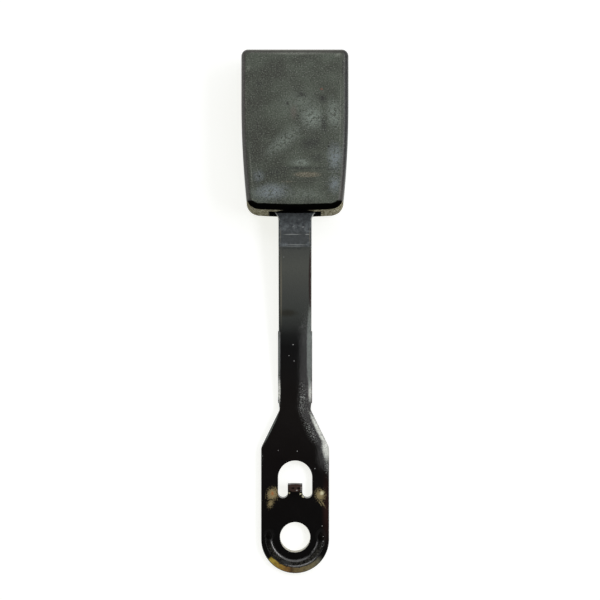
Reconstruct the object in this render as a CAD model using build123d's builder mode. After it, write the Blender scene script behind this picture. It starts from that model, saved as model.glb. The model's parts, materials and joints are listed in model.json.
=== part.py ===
from build123d import *
from math import atan, cos, radians, sin
import os

# A seat belt buckle on a rigid steel stalk, in millimetres. The origin is the centre of the bolt
# hole at the anchor plate's mounting face. +Y runs up the stalk to the mouth for the belt's
# tongue, and +Z is the side that the mounting face looks to.

os.makedirs("parts", exist_ok=True)

# Anchor plate, measured from the bolt hole's centre
steel = 3.0
bolt_hole_r = 6.3
plate_half = 14.1
end_drop = 0.9
flare_low = 37.0
flare_length = 15.8
flare_round = 3.0

# D-shaped slot in the plate and the tab that stands in it
slot_y = 24.7
slot_r = 7.1
leg_width = 4.1
leg_low = 16.2
tab_y = 19.6
tab_height = 4.2
tab_bend = 1.0
tab_taper = 0.4

# Pressed bead round the lower side of the bolt hole
bead_r = 10.8
bead_half = 1.7
bead_rise = 0.8
bead_sweep = 184.0
bead_hollow = 0.5
bead_foot = 0.2

# Stalk between the plate and the housing
strap_half = 6.75
waist_half = 6.4
stalk_reach = 132.5
bend_above_flare = 2.7
bend_below_housing = 9.5
low_bend_r = 60.0
top_bend_r = 30.0
coin_length = 30.0
coin_left = 0.7
coin_right = 1.7
coin_depth = 0.8
coin_spread = 0.3
coin_skirt = 2.0
stamped_edge = 0.4

# Head of the stalk, inside the housing
neck_r = 4.8
shoulder_gap = 0.9
head_side = 0.4
head_length = 15.6
head_corner = 2.0

# Plastic covers
wall = 2.0
top_corner = 2.7
low_corner = 5.0
taper_length = 43.5
taper = 2.5
low_bow = 0.8
back_edge_r = 2.6
front_edge_r = 1.8
seam_depth = 0.3
seam_height = 0.4
back_draft_side = 0.6
back_draft_end = 1.65
front_draft_side = 0.3
front_draft_end = 0.5
notch_half = 10.5
notch_height = 6.5
rib_x = 9.0
rib_thick = 1.5
hook_length = 6.0
hook_thick = 0.85
hook_barb = 0.4
hook_height = 3.0
hook_root = 0.5
hook_pocket = 0.5
screw_r = 1.3
screw_head_r = 2.7
screw_head = 1.6
screw_recess = 0.5
screw_length = 12.0
screw_ahead = 5.1
boss_r = 2.5
cross_length = 3.0
cross_width = 0.6
cross_depth = 0.8

# Steel frame
frame_thick = 2.5
flange_thick = 2.2
channel_half = 12.9
channel_height = 4.4
ear_r = 3.6
rivet_r = 2.5
rivet_head_r = 4.4
rivet_head = 1.6
rivet_x = 6.5
rivet_gap = 0.4
bridge_length = 7.0
bridge_thick = 1.8
bridge_dent = 0.6
bridge_gap = 3.0
frame_tail = 3.0
frame_corner = 1.2
ear_foot = 6.5
window_clear = 0.6
window_corner = 0.8
bridge_corner = 0.8
rivet_bevel = 0.9
rivet_ahead = 8.1
lead_in = 0.8

# Latch
latch_thick = 1.8
latch_side = 0.4
latch_corner = 1.5
spring_x = 6.5
spring_ahead = 9.5
spring_boss_r = 1.4
spring_boss = 0.8
roof_boss = 1.5
latch_spring_r = 2.3
latch_wire_r = 0.3
latch_spring_turns = 4
wire_sides = 6
groove_r = 1.15
clip_r = 2.8
clip_thick = 0.6
pin_tip = 0.7
pin_chamfer = 0.3
eye_r = 3.3
pin_r = 1.5
latch_reach = 17.0
tooth_length = 3.5
tooth_half = 6.0
tooth_depth = 1.3
tooth_tip = 0.9
nose_height = 1.4
nose = 0.5
wing_back = 1.5
wing_length = 3.0
wing_overlap = 2.1
latch_angle = 14.0
pivot_gap = 4.0
roof_gap = 1.2

# Ejector
ejector_length = 10.0
ejector_gap = 1.5
ejector_stop = 1.0
ejector_web = 1.8
foot_half = 4.5
foot_neck = 2.7
foot_length = 5.0
ejector_spring_r = 1.3
ejector_wire_r = 0.2
ejector_spring_turns = 7
ejector_corner = 1.0
trough_floor = 0.5
foot_ahead = 5.0
scoop_r = 18.0
scoop_depth = 1.0
rod_r = 0.5
rod_tail = 2.5
rod_collar = 0.8
rod_end_gap = 0.4

# Button and its slider
button_travel = 5.5
button_depth = 4.6
button_recess = 1.5
button_half = 16.4
button_wall = 1.4
button_corner = 1.2
button_edge = 0.6
button_roof_gap = 0.5
dish_r = 60.0
dish_depth = 0.8
arm_thick = 2.4
arm_gap = 0.4
arm_rise = 0.9
arm_tail = 6.5
arm_step_back = 7.0
arm_room = 1.9
ramp_gap = 0.35
mouth_depth = 10.35
button_spring_r = 1.5
button_spring_length = 15.0
button_wire_r = 0.25
button_spring_turns = 6
button_nib_r = 0.9
button_nib = 2.0
seat_thick = 2.0
mouth_half = 13.4
mouth_gap = 0.2
guide_side = 0.8

# Clearances, and the band within which an edge is picked by its place
fit = 0.3
pin_fit = 0.05
pick = 0.01

# Heights, from the anchor plate's lower face up
plate_low = -steel
front_face = plate_low
floor = front_face + wall
base_low = floor + rivet_head + rivet_gap
head_low = base_low + frame_thick
head_top_z = head_low + steel
parting = head_low + steel / 2
flange_top = head_low + channel_height
latch_low = flange_top + fit
pivot_z = latch_low + eye_r
roof = pivot_z + eye_r + roof_gap
back_face = roof + wall

tooth_low = head_low - tooth_depth
tooth_shoulder = latch_low - nose_height
ejector_low = head_low + fit
ejector_high = flange_top - fit
trough_low = ejector_low + trough_floor
rod_z = trough_low + ejector_spring_r + pin_fit
button_low = latch_low + fit
button_high = roof - button_roof_gap
arm_low = head_low + arm_rise
button_spring_z = (arm_low + latch_low - ramp_gap) / 2
mouth_low = head_low - mouth_gap
guide_high = flange_top + mouth_gap
screw_seat = front_face + screw_recess + screw_head
barb_z = parting + 3 * hook_height / 4

# Places along the stalk, from the housing's lower end up
flare_top = flare_low + flare_length
shoulder_y = stalk_reach + wall + shoulder_gap
head_end = shoulder_y + head_length
rivet_y = shoulder_y + rivet_ahead
screw_y = shoulder_y + screw_ahead
pivot_y = head_end + pivot_gap
flange_start = pivot_y - ear_foot
spring_y = pivot_y + spring_ahead
tooth_y = pivot_y + latch_reach
latch_end = tooth_y + tooth_length + nose
wing_y = tooth_y - wing_back
tooth_at_base = tooth_tip + (tooth_length - tooth_tip) * tooth_depth / (tooth_shoulder - tooth_low)
window_low = tooth_y - window_clear
window_high = tooth_y + tooth_at_base + window_clear
ejector_front = tooth_y - ejector_gap
ejector_rear = ejector_front - ejector_length
ejector_travel = ejector_rear - head_end - ejector_stop
trough_end = ejector_front - ejector_web
rod_reach = trough_end - ejector_travel - rod_end_gap - head_end
foot_y = ejector_rear + foot_ahead
foot_slot_low = foot_y - foot_length / 2 - ejector_travel - fit
foot_slot_high = foot_y + foot_length / 2 + fit
bridge_y = latch_end + bridge_gap
frame_end = bridge_y + bridge_length + frame_tail
housing_top = frame_end + mouth_depth
button_front = housing_top - button_recess
button_rear = button_front - button_depth
bar_rear = bridge_y + bridge_length + button_travel + fit
guide_rear = frame_end + fit
guide_front = housing_top - wall - front_draft_end - mouth_gap

# The wing's front edge travels on an arc round the pin, and the slider's ramp is set to that arc
wing_front = wing_y + wing_length
wing_arm = wing_front - pivot_y
tilt = radians(latch_angle)
wing_lift = wing_arm * sin(tilt) + eye_r * (1 - cos(tilt))
wing_shift = eye_r * sin(tilt) - wing_arm * (1 - cos(tilt))
ramp_slope = wing_lift / (button_travel + wing_shift)
ramp_start = wing_front
ramp_end = ramp_start + button_travel + wing_shift + fit
arm_high = latch_low - ramp_gap + (ramp_end - ramp_start) * ramp_slope
arm_rear = wing_y - arm_tail
arm_step = frame_end - arm_step_back
seat_y = arm_rear - button_spring_length
rib_start = rivet_y + rivet_head_r + fit

# Widths, from the channel outwards
flange_out = channel_half + flange_thick
arm_in = flange_out + arm_gap
arm_out = arm_in + arm_thick
housing_half = arm_out + arm_room + wall
wing_half = arm_in + wing_overlap
head_half = channel_half - head_side
pin_half = flange_out + 2 * pin_fit + clip_thick + pin_tip
button_spring_x = flange_out + fit + button_spring_r
screw_x = channel_half + boss_r
inner_half = housing_half - wall
guide_half = inner_half - guide_side

# Helpers


def at_place(shapes, axis, place):
    """Those of the edges or corners that lie at one place on an axis."""
    return shapes.filter_by_position(axis, place - pick, place + pick)


def across(y):
    """Plane across the stalk at y, looking to the mouth, with local y up."""
    return Plane(origin=(0, y, 0), x_dir=(-1, 0, 0), z_dir=(0, 1, 0))


def housing_outline(z, side_inset, end_inset, corner_inset):
    """Outline of the covers at height z, drawn in by the insets."""
    top = housing_top - end_inset
    low = stalk_reach + end_inset
    half = housing_half - side_inset
    low_half = half - taper
    side_start = (half, stalk_reach + taper_length)
    side_end = (low_half, low + low_bow)
    with BuildSketch(Plane.XY.offset(z)) as outline:
        with BuildLine():
            Polyline((0, top), (half, top), side_start)
            TangentArc(side_start, side_end, tangent=(0, -1))
            TangentArc((0, low), side_end, tangent=(1, 0))
            mirror(about=Plane.YZ)
        make_face()
        fillet(outline.vertices().group_by(Axis.Y)[-1], top_corner - corner_inset)
        fillet(at_place(outline.vertices(), Axis.Y, low + low_bow), low_corner - corner_inset)
    return outline.sketch


def cover_block(z, outer, far_z, far_outer, corner_inset):
    """Solid between two housing outlines, each with its side and end insets."""
    with BuildPart() as block:
        add(housing_outline(z, *outer, corner_inset))
        add(housing_outline(far_z, *far_outer, corner_inset))
        loft()
    return block.part


def on_strip_top(edge):
    """Whether an edge outlines the strip's upper face, short of the stalk's shoulder."""
    place = edge.center()
    share = min(max((place.Y - bend_low) / (bend_top - bend_low), 0), 1)
    return place.Z > share * head_top_z - steel / 2 and place.Y < shoulder_y - pick


def bead(rise, crest_z):
    """Part of a ring with rounded ends whose cap stands rise above its foot at crest_z - rise."""
    ring_r = (bead_half**2 + rise**2) / (2 * rise)
    start = -90 - bead_sweep / 2
    ends = [
        (bead_r * cos(radians(angle)), bead_r * sin(radians(angle)), crest_z - ring_r)
        for angle in (start, start + bead_sweep)
    ]
    with BuildPart() as cap:
        with BuildSketch(Plane.XZ.rotated((0, 0, start))):
            with Locations((bead_r, crest_z - ring_r)):
                Circle(ring_r)
        revolve(axis=Axis.Z, revolution_arc=bead_sweep)
        with Locations(*ends):
            Sphere(ring_r)
        with BuildSketch(Plane.XY.offset(crest_z)):
            Circle(plate_half + ring_r)
        extrude(amount=-(rise + bead_foot), mode=Mode.INTERSECT)
    return cap.part


def coil(coil_r, wire_r, turns, start, end):
    """Helical spring of outer radius coil_r between two points, its wire drawn with flat sides."""
    run = Vector(*end) - Vector(*start)
    height = run.length - 2 * wire_r
    base = Vector(*start) + run.normalized() * wire_r
    with BuildPart() as spring:
        with BuildLine() as wire:
            Helix(height / turns, height, coil_r - wire_r, center=base, direction=run)
        with BuildSketch(Plane(origin=wire.line @ 0, z_dir=wire.line % 0)):
            RegularPolygon(wire_r, wire_sides)
        sweep(is_frenet=True)
    return spring.part


# Stalk: anchor plate, strap and head, stamped from one strip

bend_low = flare_top + bend_above_flare
bend_top = stalk_reach - bend_below_housing
slope = atan(head_top_z / (bend_top - bend_low))
slot_inner = slot_r - leg_width
slot_middle = slot_inner + leg_width / 2
leg_end = leg_low + leg_width / 2
tab_base = tab_y - tab_bend
strip_start = -plate_half - end_drop - steel
strip_end = head_end + steel

with BuildPart() as anchor_stalk:
    with BuildSketch(Plane.XY.offset(plate_low)):
        with BuildLine():
            Polyline(
                (0, head_end),
                (head_half, head_end),
                (head_half, shoulder_y),
                (strap_half + neck_r, shoulder_y),
            )
            TangentArc((strap_half, shoulder_y - neck_r), (strap_half + neck_r, shoulder_y), tangent=(0, 1))
            Polyline(
                (strap_half, shoulder_y - neck_r),
                (strap_half, bend_low),
                (waist_half, flare_top),
                (plate_half, flare_low),
                (plate_half, -end_drop),
            )
            TangentArc((plate_half, -end_drop), (0, -end_drop - plate_half), tangent=(0, -1))
            mirror(about=Plane.YZ)
        make_face()
    extrude(amount=head_top_z - plate_low)
    upright = anchor_stalk.edges().filter_by(Axis.Z)
    fillet(upright.filter_by_position(Axis.Y, flare_low - pick, bend_low + pick), flare_round)
    fillet(anchor_stalk.edges().filter_by(Axis.Z).group_by(Axis.Y)[-1], head_corner)
    # Side view of the strip: flat plate, straight rise, flat head
    with BuildSketch(Plane.YZ):
        with BuildLine():
            upper = FilletPolyline(
                (strip_start, 0),
                (bend_low, 0),
                (bend_top, head_top_z),
                (strip_end, head_top_z),
                radius=(low_bend_r, top_bend_r),
            )
            lower = FilletPolyline(
                (strip_start, plate_low),
                (bend_low, plate_low),
                (bend_top, head_low),
                (strip_end, head_low),
                radius=(low_bend_r, top_bend_r),
            )
            Line(upper @ 0, lower @ 0)
            Line(upper @ 1, lower @ 1)
        make_face()
    extrude(amount=plate_half + steel, both=True, mode=Mode.INTERSECT)
    # Upper edges drawn round by the punch
    outline_edges = anchor_stalk.edges().filter_by(Axis.Z, reverse=True).filter_by(Axis.X, reverse=True)
    fillet(outline_edges.filter_by(on_strip_top), stamped_edge)
    # Coined edges: a flat bevel along both sides of the strap's upper face, the metal spread outwards
    for side, width in ((-1, coin_left), (1, coin_right)):
        coin_start = (side * strap_half, bend_low, 0)
        coin_plane = Plane(coin_start, x_dir=(side, 0, 0), z_dir=(0, cos(slope), sin(slope)))
        with BuildSketch(coin_plane):
            Polygon(
                (coin_spread, side * coin_depth),
                (coin_spread, -side * coin_depth),
                (-2 * width - coin_spread, -side * coin_depth),
                align=None,
            )
        extrude(amount=coin_length, mode=Mode.SUBTRACT)
        with BuildSketch(coin_plane):
            Polygon(
                (-width, 0),
                (coin_spread, side * coin_depth),
                (coin_spread, side * coin_skirt),
                (-width, side * coin_skirt),
                align=None,
            )
        extrude(amount=coin_length)
    # D-shaped slot
    with BuildSketch():
        with BuildLine():
            Line((slot_r, leg_end), (slot_r, slot_y))
            ThreePointArc((slot_r, slot_y), (0, slot_y + slot_r), (-slot_r, slot_y))
            Line((-slot_r, slot_y), (-slot_r, leg_end))
            ThreePointArc((-slot_r, leg_end), (-slot_middle, leg_low), (-slot_inner, leg_end))
            Polyline(
                (-slot_inner, leg_end),
                (-slot_inner, tab_base),
                (slot_inner, tab_base),
                (slot_inner, leg_end),
            )
            ThreePointArc((slot_inner, leg_end), (slot_middle, leg_low), (slot_r, leg_end))
        make_face()
    extrude(amount=2 * steel, both=True, mode=Mode.SUBTRACT)
    # Tab, bent up out of the slot
    with BuildSketch(Plane.YZ):
        with BuildLine():
            Polyline(
                (tab_y + steel, tab_bend),
                (tab_y + steel, tab_height),
                (tab_y, tab_height),
                (tab_y, tab_bend),
            )
            TangentArc((tab_y, tab_bend), (tab_base, 0), tangent=(0, -1))
            Line((tab_base, 0), (tab_base, plate_low))
            TangentArc((tab_base, plate_low), (tab_y + steel, tab_bend), tangent=(1, 0))
        make_face()
    extrude(amount=slot_inner, both=True)
    chamfer(at_place(anchor_stalk.edges().filter_by(Axis.Y), Axis.Z, tab_height), tab_taper, 2 * tab_taper)
    # Bead round the lower side of the bolt hole, hollow beneath
    add(bead(bead_rise, bead_rise))
    add(bead(bead_hollow, plate_low + bead_hollow), mode=Mode.SUBTRACT)
    # Holes for the anchor bolt, the rivets and the ejector's rod
    with Locations((0, 0, 0)):
        Hole(bolt_hole_r)
    with Locations((-rivet_x, rivet_y, head_top_z), (rivet_x, rivet_y, head_top_z)):
        Hole(rivet_r + pin_fit, 2 * steel)
    with BuildSketch(across(head_end)):
        with Locations((0, rod_z)):
            Circle(rod_r + pin_fit)
    extrude(amount=-rod_tail, mode=Mode.SUBTRACT)
anchor_stalk.part.label = "anchor_stalk"
export_step(anchor_stalk.part, "parts/anchor_stalk.step")

# Latch frame: base under the stalk's head, two flanges, ears for the latch pin

with BuildPart() as latch_frame:
    with BuildSketch(Plane.XY.offset(base_low)):
        with Locations((0, (shoulder_y + fit + frame_end) / 2)):
            Rectangle(2 * (channel_half - fit), frame_end - shoulder_y - fit)
        with Locations((0, (flange_start + frame_end) / 2)):
            Rectangle(2 * flange_out, frame_end - flange_start)
    extrude(amount=frame_thick)
    # Flanges, low beside the tongue and high at the ears
    with BuildSketch(Plane.YZ.offset(flange_out)):
        with Locations(((flange_start + frame_end) / 2, (base_low + flange_top) / 2)):
            Rectangle(frame_end - flange_start, flange_top - base_low)
        with BuildLine():
            Polyline(
                (pivot_y - ear_r, pivot_z),
                (flange_start, flange_top),
                (pivot_y + 2 * ear_r, flange_top),
                (pivot_y + ear_r, pivot_z),
                close=True,
            )
        make_face()
        with Locations((pivot_y, pivot_z)):
            Circle(ear_r)
    extrude(amount=-flange_thick)
    with BuildSketch(Plane.YZ.offset(flange_out)):
        with Locations((pivot_y, pivot_z)):
            Circle(pin_r + pin_fit)
    extrude(amount=-flange_thick, mode=Mode.SUBTRACT)
    mirror(about=Plane.YZ)
    fillet(latch_frame.edges().filter_by(Axis.Y).group_by(Axis.Z)[0], frame_corner)
    # Window for the tooth and slot for the ejector's foot
    with BuildSketch(Plane.XY.offset(base_low)):
        with Locations((0, (window_low + window_high) / 2)):
            RectangleRounded(2 * (tooth_half + 2 * fit), window_high - window_low, window_corner)
        with Locations((0, (foot_slot_low + foot_slot_high) / 2)):
            RectangleRounded(2 * (foot_neck + fit), foot_slot_high - foot_slot_low, window_corner)
    extrude(amount=frame_thick, mode=Mode.SUBTRACT)
    with Locations((-rivet_x, rivet_y, head_low), (rivet_x, rivet_y, head_low)):
        Hole(rivet_r + pin_fit, frame_thick)
    # Lead-in for the tongue
    end_edges = latch_frame.faces().sort_by(Axis.Y)[-1].edges().filter_by(Axis.X)
    chamfer(at_place(end_edges, Axis.Z, head_low), lead_in)
latch_frame.part.label = "latch_frame"
export_step(latch_frame.part, "parts/latch_frame.step")

# Rivets through the head and the frame

with BuildPart() as frame_rivets:
    with Locations((-rivet_x, rivet_y, base_low), (rivet_x, rivet_y, base_low)):
        Cylinder(rivet_r, frame_thick + steel, align=(Align.CENTER, Align.CENTER, Align.MIN))
        Cylinder(rivet_head_r, rivet_head, align=(Align.CENTER, Align.CENTER, Align.MAX))
    with Locations((-rivet_x, rivet_y, head_top_z), (rivet_x, rivet_y, head_top_z)):
        Cylinder(rivet_head_r, rivet_head, align=(Align.CENTER, Align.CENTER, Align.MIN))
    rims = frame_rivets.edges().filter_by(GeomType.CIRCLE).group_by(Axis.Z)
    chamfer(rims[0] + rims[-1], rivet_bevel)
frame_rivets.part.label = "frame_rivets"
export_step(frame_rivets.part, "parts/frame_rivets.step")

# Bridge over the channel, staked on the flanges, which keeps the tongue down

with BuildPart() as tongue_bridge:
    with BuildSketch(Plane.XY.offset(flange_top)):
        with Locations((0, bridge_y + bridge_length / 2)):
            RectangleRounded(2 * flange_out, bridge_length, bridge_corner)
    extrude(amount=bridge_thick)
    with BuildSketch(Plane.XY.offset(flange_top + bridge_thick)):
        with Locations((0, bridge_y + bridge_length / 2)):
            SlotOverall(2 * tooth_half, bridge_length / 2)
    extrude(amount=-bridge_dent, mode=Mode.SUBTRACT)
tongue_bridge.part.label = "tongue_bridge"
export_step(tongue_bridge.part, "parts/tongue_bridge.step")

# Latch plate: rolled eye, plate, side wings and a tooth with a sloped nose

with BuildPart() as latch_plate:
    with BuildSketch(Plane.XY.offset(latch_low)):
        with Locations((0, (pivot_y + latch_end) / 2)):
            Rectangle(2 * (channel_half - latch_side), latch_end - pivot_y)
        with Locations((0, wing_y + wing_length / 2)):
            Rectangle(2 * wing_half, wing_length)
    extrude(amount=latch_thick)
    fillet(latch_plate.edges().filter_by(Axis.Z).group_by(Axis.Y)[-1], latch_corner)
    with BuildSketch(Plane.YZ):
        with Locations((pivot_y, pivot_z)):
            Circle(eye_r)
    extrude(amount=channel_half - latch_side, both=True)
    with BuildSketch(Plane.YZ):
        with Locations((pivot_y, pivot_z)):
            Circle(pin_r + pin_fit)
    extrude(amount=channel_half, both=True, mode=Mode.SUBTRACT)
    with BuildSketch(Plane.YZ):
        Polygon(
            (tooth_y, latch_low),
            (tooth_y, tooth_low),
            (tooth_y + tooth_tip, tooth_low),
            (tooth_y + tooth_length, tooth_shoulder),
            (tooth_y + tooth_length, latch_low),
            align=None,
        )
    extrude(amount=tooth_half, both=True)
    with BuildSketch(Plane.XY.offset(latch_low + latch_thick)):
        with Locations((-spring_x, spring_y), (spring_x, spring_y)):
            Circle(spring_boss_r)
    extrude(amount=spring_boss)
latch_plate.part.label = "latch_plate"
export_step(latch_plate.part, "parts/latch_plate.step")

# Latch pin, with a groove near each end for its clips

with BuildPart() as latch_pin:
    with BuildSketch(Plane.YZ):
        with Locations((pivot_y, pivot_z)):
            Circle(pin_r)
    extrude(amount=pin_half, both=True)
    for side in (-1, 1):
        with BuildSketch(Plane.YZ.offset(side * (flange_out + pin_fit))):
            with Locations((pivot_y, pivot_z)):
                Circle(pin_r)
                Circle(groove_r, mode=Mode.SUBTRACT)
        extrude(amount=side * (clip_thick + 2 * pin_fit), mode=Mode.SUBTRACT)
    pin_ends = latch_pin.faces().filter_by(Axis.X)
    chamfer(pin_ends.sort_by(Axis.X)[0].edges() + pin_ends.sort_by(Axis.X)[-1].edges(), pin_chamfer)
latch_pin.part.label = "latch_pin"
export_step(latch_pin.part, "parts/latch_pin.step")

# Clips in the pin's grooves, open at the top

with BuildPart() as pin_clips:
    for side in (-1, 1):
        with BuildSketch(Plane.YZ.offset(side * (flange_out + 2 * pin_fit))):
            with Locations((pivot_y, pivot_z)):
                Circle(clip_r)
                Circle(groove_r + pin_fit, mode=Mode.SUBTRACT)
            with Locations((pivot_y, pivot_z + clip_r)):
                Rectangle(2 * groove_r, 2 * clip_r, mode=Mode.SUBTRACT)
        extrude(amount=side * clip_thick)
pin_clips.part.label = "pin_clips"
export_step(pin_clips.part, "parts/pin_clips.step")

# Ejector: block with a trough for its spring and a foot that hooks under the frame

with BuildPart() as ejector:
    with BuildSketch(Plane.XY.offset(ejector_low)):
        with Locations((0, (ejector_rear + ejector_front) / 2)):
            Rectangle(2 * (channel_half - fit), ejector_length)
    extrude(amount=ejector_high - ejector_low)
    fillet(ejector.edges().filter_by(Axis.Z).group_by(Axis.Y)[-1], ejector_corner)
    with BuildSketch(Plane.XY.offset(ejector_high)):
        with Locations((0, (ejector_rear + trough_end) / 2)):
            Rectangle(2 * (ejector_spring_r + fit), trough_end - ejector_rear)
    extrude(amount=-(ejector_high - trough_low), mode=Mode.SUBTRACT)
    # Scoop in the front face, which meets the tongue's rounded nose
    with BuildSketch(Plane.XY.offset(ejector_high)):
        with Locations((0, ejector_front + scoop_r - scoop_depth)):
            Circle(scoop_r)
    extrude(amount=-(ejector_high - ejector_low), mode=Mode.SUBTRACT)
    with BuildSketch(Plane.XY.offset(ejector_low)):
        with Locations((0, foot_y)):
            Rectangle(2 * foot_neck, foot_length)
    extrude(amount=-(ejector_low - base_low + fit))
    with BuildSketch(Plane.XY.offset(base_low - fit)):
        with Locations((0, foot_y)):
            Rectangle(2 * foot_half, foot_length)
    extrude(amount=-(base_low - floor - 2 * fit))
ejector.part.label = "ejector"
export_step(ejector.part, "parts/ejector.step")

# Rod that carries the ejector's spring, its tail pressed into the stalk's head

with BuildPart() as ejector_spring_rod:
    with BuildSketch(across(head_end)):
        with Locations((0, rod_z)):
            Circle(ejector_spring_r)
    extrude(amount=rod_collar)
    with BuildSketch(across(head_end - rod_tail)):
        with Locations((0, rod_z)):
            Circle(rod_r)
    extrude(amount=rod_tail + rod_reach)
ejector_spring_rod.part.label = "ejector_spring_rod"
export_step(ejector_spring_rod.part, "parts/ejector_spring_rod.step")

with BuildPart() as ejector_spring:
    rest = (0, head_end + rod_collar, rod_z)
    add(coil(ejector_spring_r, ejector_wire_r, ejector_spring_turns, rest, (0, trough_end, rod_z)))
ejector_spring.part.label = "ejector_spring"
export_step(ejector_spring.part, "parts/ejector_spring.step")

# Latch springs, between the latch plate and the roof of the back cover

for side, name in ((-1, "latch_spring_left"), (1, "latch_spring_right")):
    with BuildPart() as latch_spring:
        low_end = (side * spring_x, spring_y, latch_low + latch_thick)
        high_end = (side * spring_x, spring_y, roof)
        add(coil(latch_spring_r, latch_wire_r, latch_spring_turns, low_end, high_end))
    latch_spring.part.label = name
    export_step(latch_spring.part, "parts/" + name + ".step")

# Release slider: a bar behind the button and two arms whose ramps lift the latch's wings

with BuildPart() as release_slider:
    with BuildSketch(Plane.YZ.offset(arm_out)):
        Polygon(
            (arm_rear, arm_low),
            (arm_step, arm_low),
            (arm_step, button_low),
            (button_rear, button_low),
            (button_rear, arm_high),
            (ramp_end, arm_high),
            (ramp_start, latch_low - ramp_gap),
            (arm_rear, latch_low - ramp_gap),
            align=None,
        )
    extrude(amount=-arm_thick)
    mirror(about=Plane.YZ)
    with BuildSketch(Plane.XZ.offset(-button_rear)):
        with Locations((0, (button_low + arm_high) / 2)):
            Rectangle(2 * arm_out, arm_high - button_low)
    extrude(amount=button_rear - bar_rear)
    with BuildSketch(across(arm_rear)):
        with Locations((-button_spring_x, button_spring_z), (button_spring_x, button_spring_z)):
            Circle(button_nib_r)
    extrude(amount=-button_nib)
release_slider.part.label = "release_slider"
export_step(release_slider.part, "parts/release_slider.step")

# Button: a hollow cap with a dished face

with BuildPart() as press_button:
    with BuildSketch(across(button_rear)):
        with Locations((0, (button_low + button_high) / 2)):
            RectangleRounded(2 * button_half, button_high - button_low, button_corner)
    extrude(amount=button_depth)
    with BuildSketch(Plane.XY.offset(button_low)):
        with Locations((0, button_front + dish_r - dish_depth)):
            Circle(dish_r)
    extrude(amount=button_high - button_low, mode=Mode.SUBTRACT)
    with BuildSketch(across(button_rear)):
        with Locations((0, (button_low + button_high) / 2)):
            Rectangle(2 * (button_half - button_wall), button_high - button_low - 2 * button_wall)
    extrude(amount=button_depth - dish_depth - button_wall, mode=Mode.SUBTRACT)
    fillet(press_button.faces().sort_by(Axis.Y)[-1].edges(), button_edge)
press_button.part.label = "press_button"
export_step(press_button.part, "parts/press_button.step")

for side, name in ((-1, "button_spring_left"), (1, "button_spring_right")):
    with BuildPart() as button_spring:
        low_end = (side * button_spring_x, seat_y, button_spring_z)
        high_end = (side * button_spring_x, arm_rear, button_spring_z)
        add(coil(button_spring_r, button_wire_r, button_spring_turns, low_end, high_end))
    button_spring.part.label = name
    export_step(button_spring.part, "parts/" + name + ".step")

# Tongue guide: mouth insert between the frame and the end of the housing

with BuildPart() as tongue_guide:
    with BuildSketch(Plane.XY.offset(floor)):
        with Locations((0, (guide_rear + guide_front) / 2)):
            Rectangle(2 * guide_half, guide_front - guide_rear)
    extrude(amount=guide_high - floor)
    with BuildSketch(across(guide_rear)):
        with Locations((0, (mouth_low + guide_high) / 2)):
            Rectangle(2 * mouth_half, guide_high - mouth_low)
    extrude(amount=guide_front - guide_rear, mode=Mode.SUBTRACT)
    end_edges = tongue_guide.faces().sort_by(Axis.Y)[-1].edges().filter_by(Axis.X)
    chamfer(at_place(end_edges, Axis.Z, mouth_low), lead_in)
tongue_guide.part.label = "tongue_guide"
export_step(tongue_guide.part, "parts/tongue_guide.step")

# Front cover: the half that holds the frame, the guide and the spring seats

floor_share = (parting - floor) / (parting - front_face)
floor_inset = (wall + front_draft_side * floor_share, wall + front_draft_end * floor_share)
outside = housing_outline(parting, -seam_depth, -seam_depth, 0)
seam_ring = outside - housing_outline(parting, seam_depth, seam_depth, seam_depth)

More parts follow.
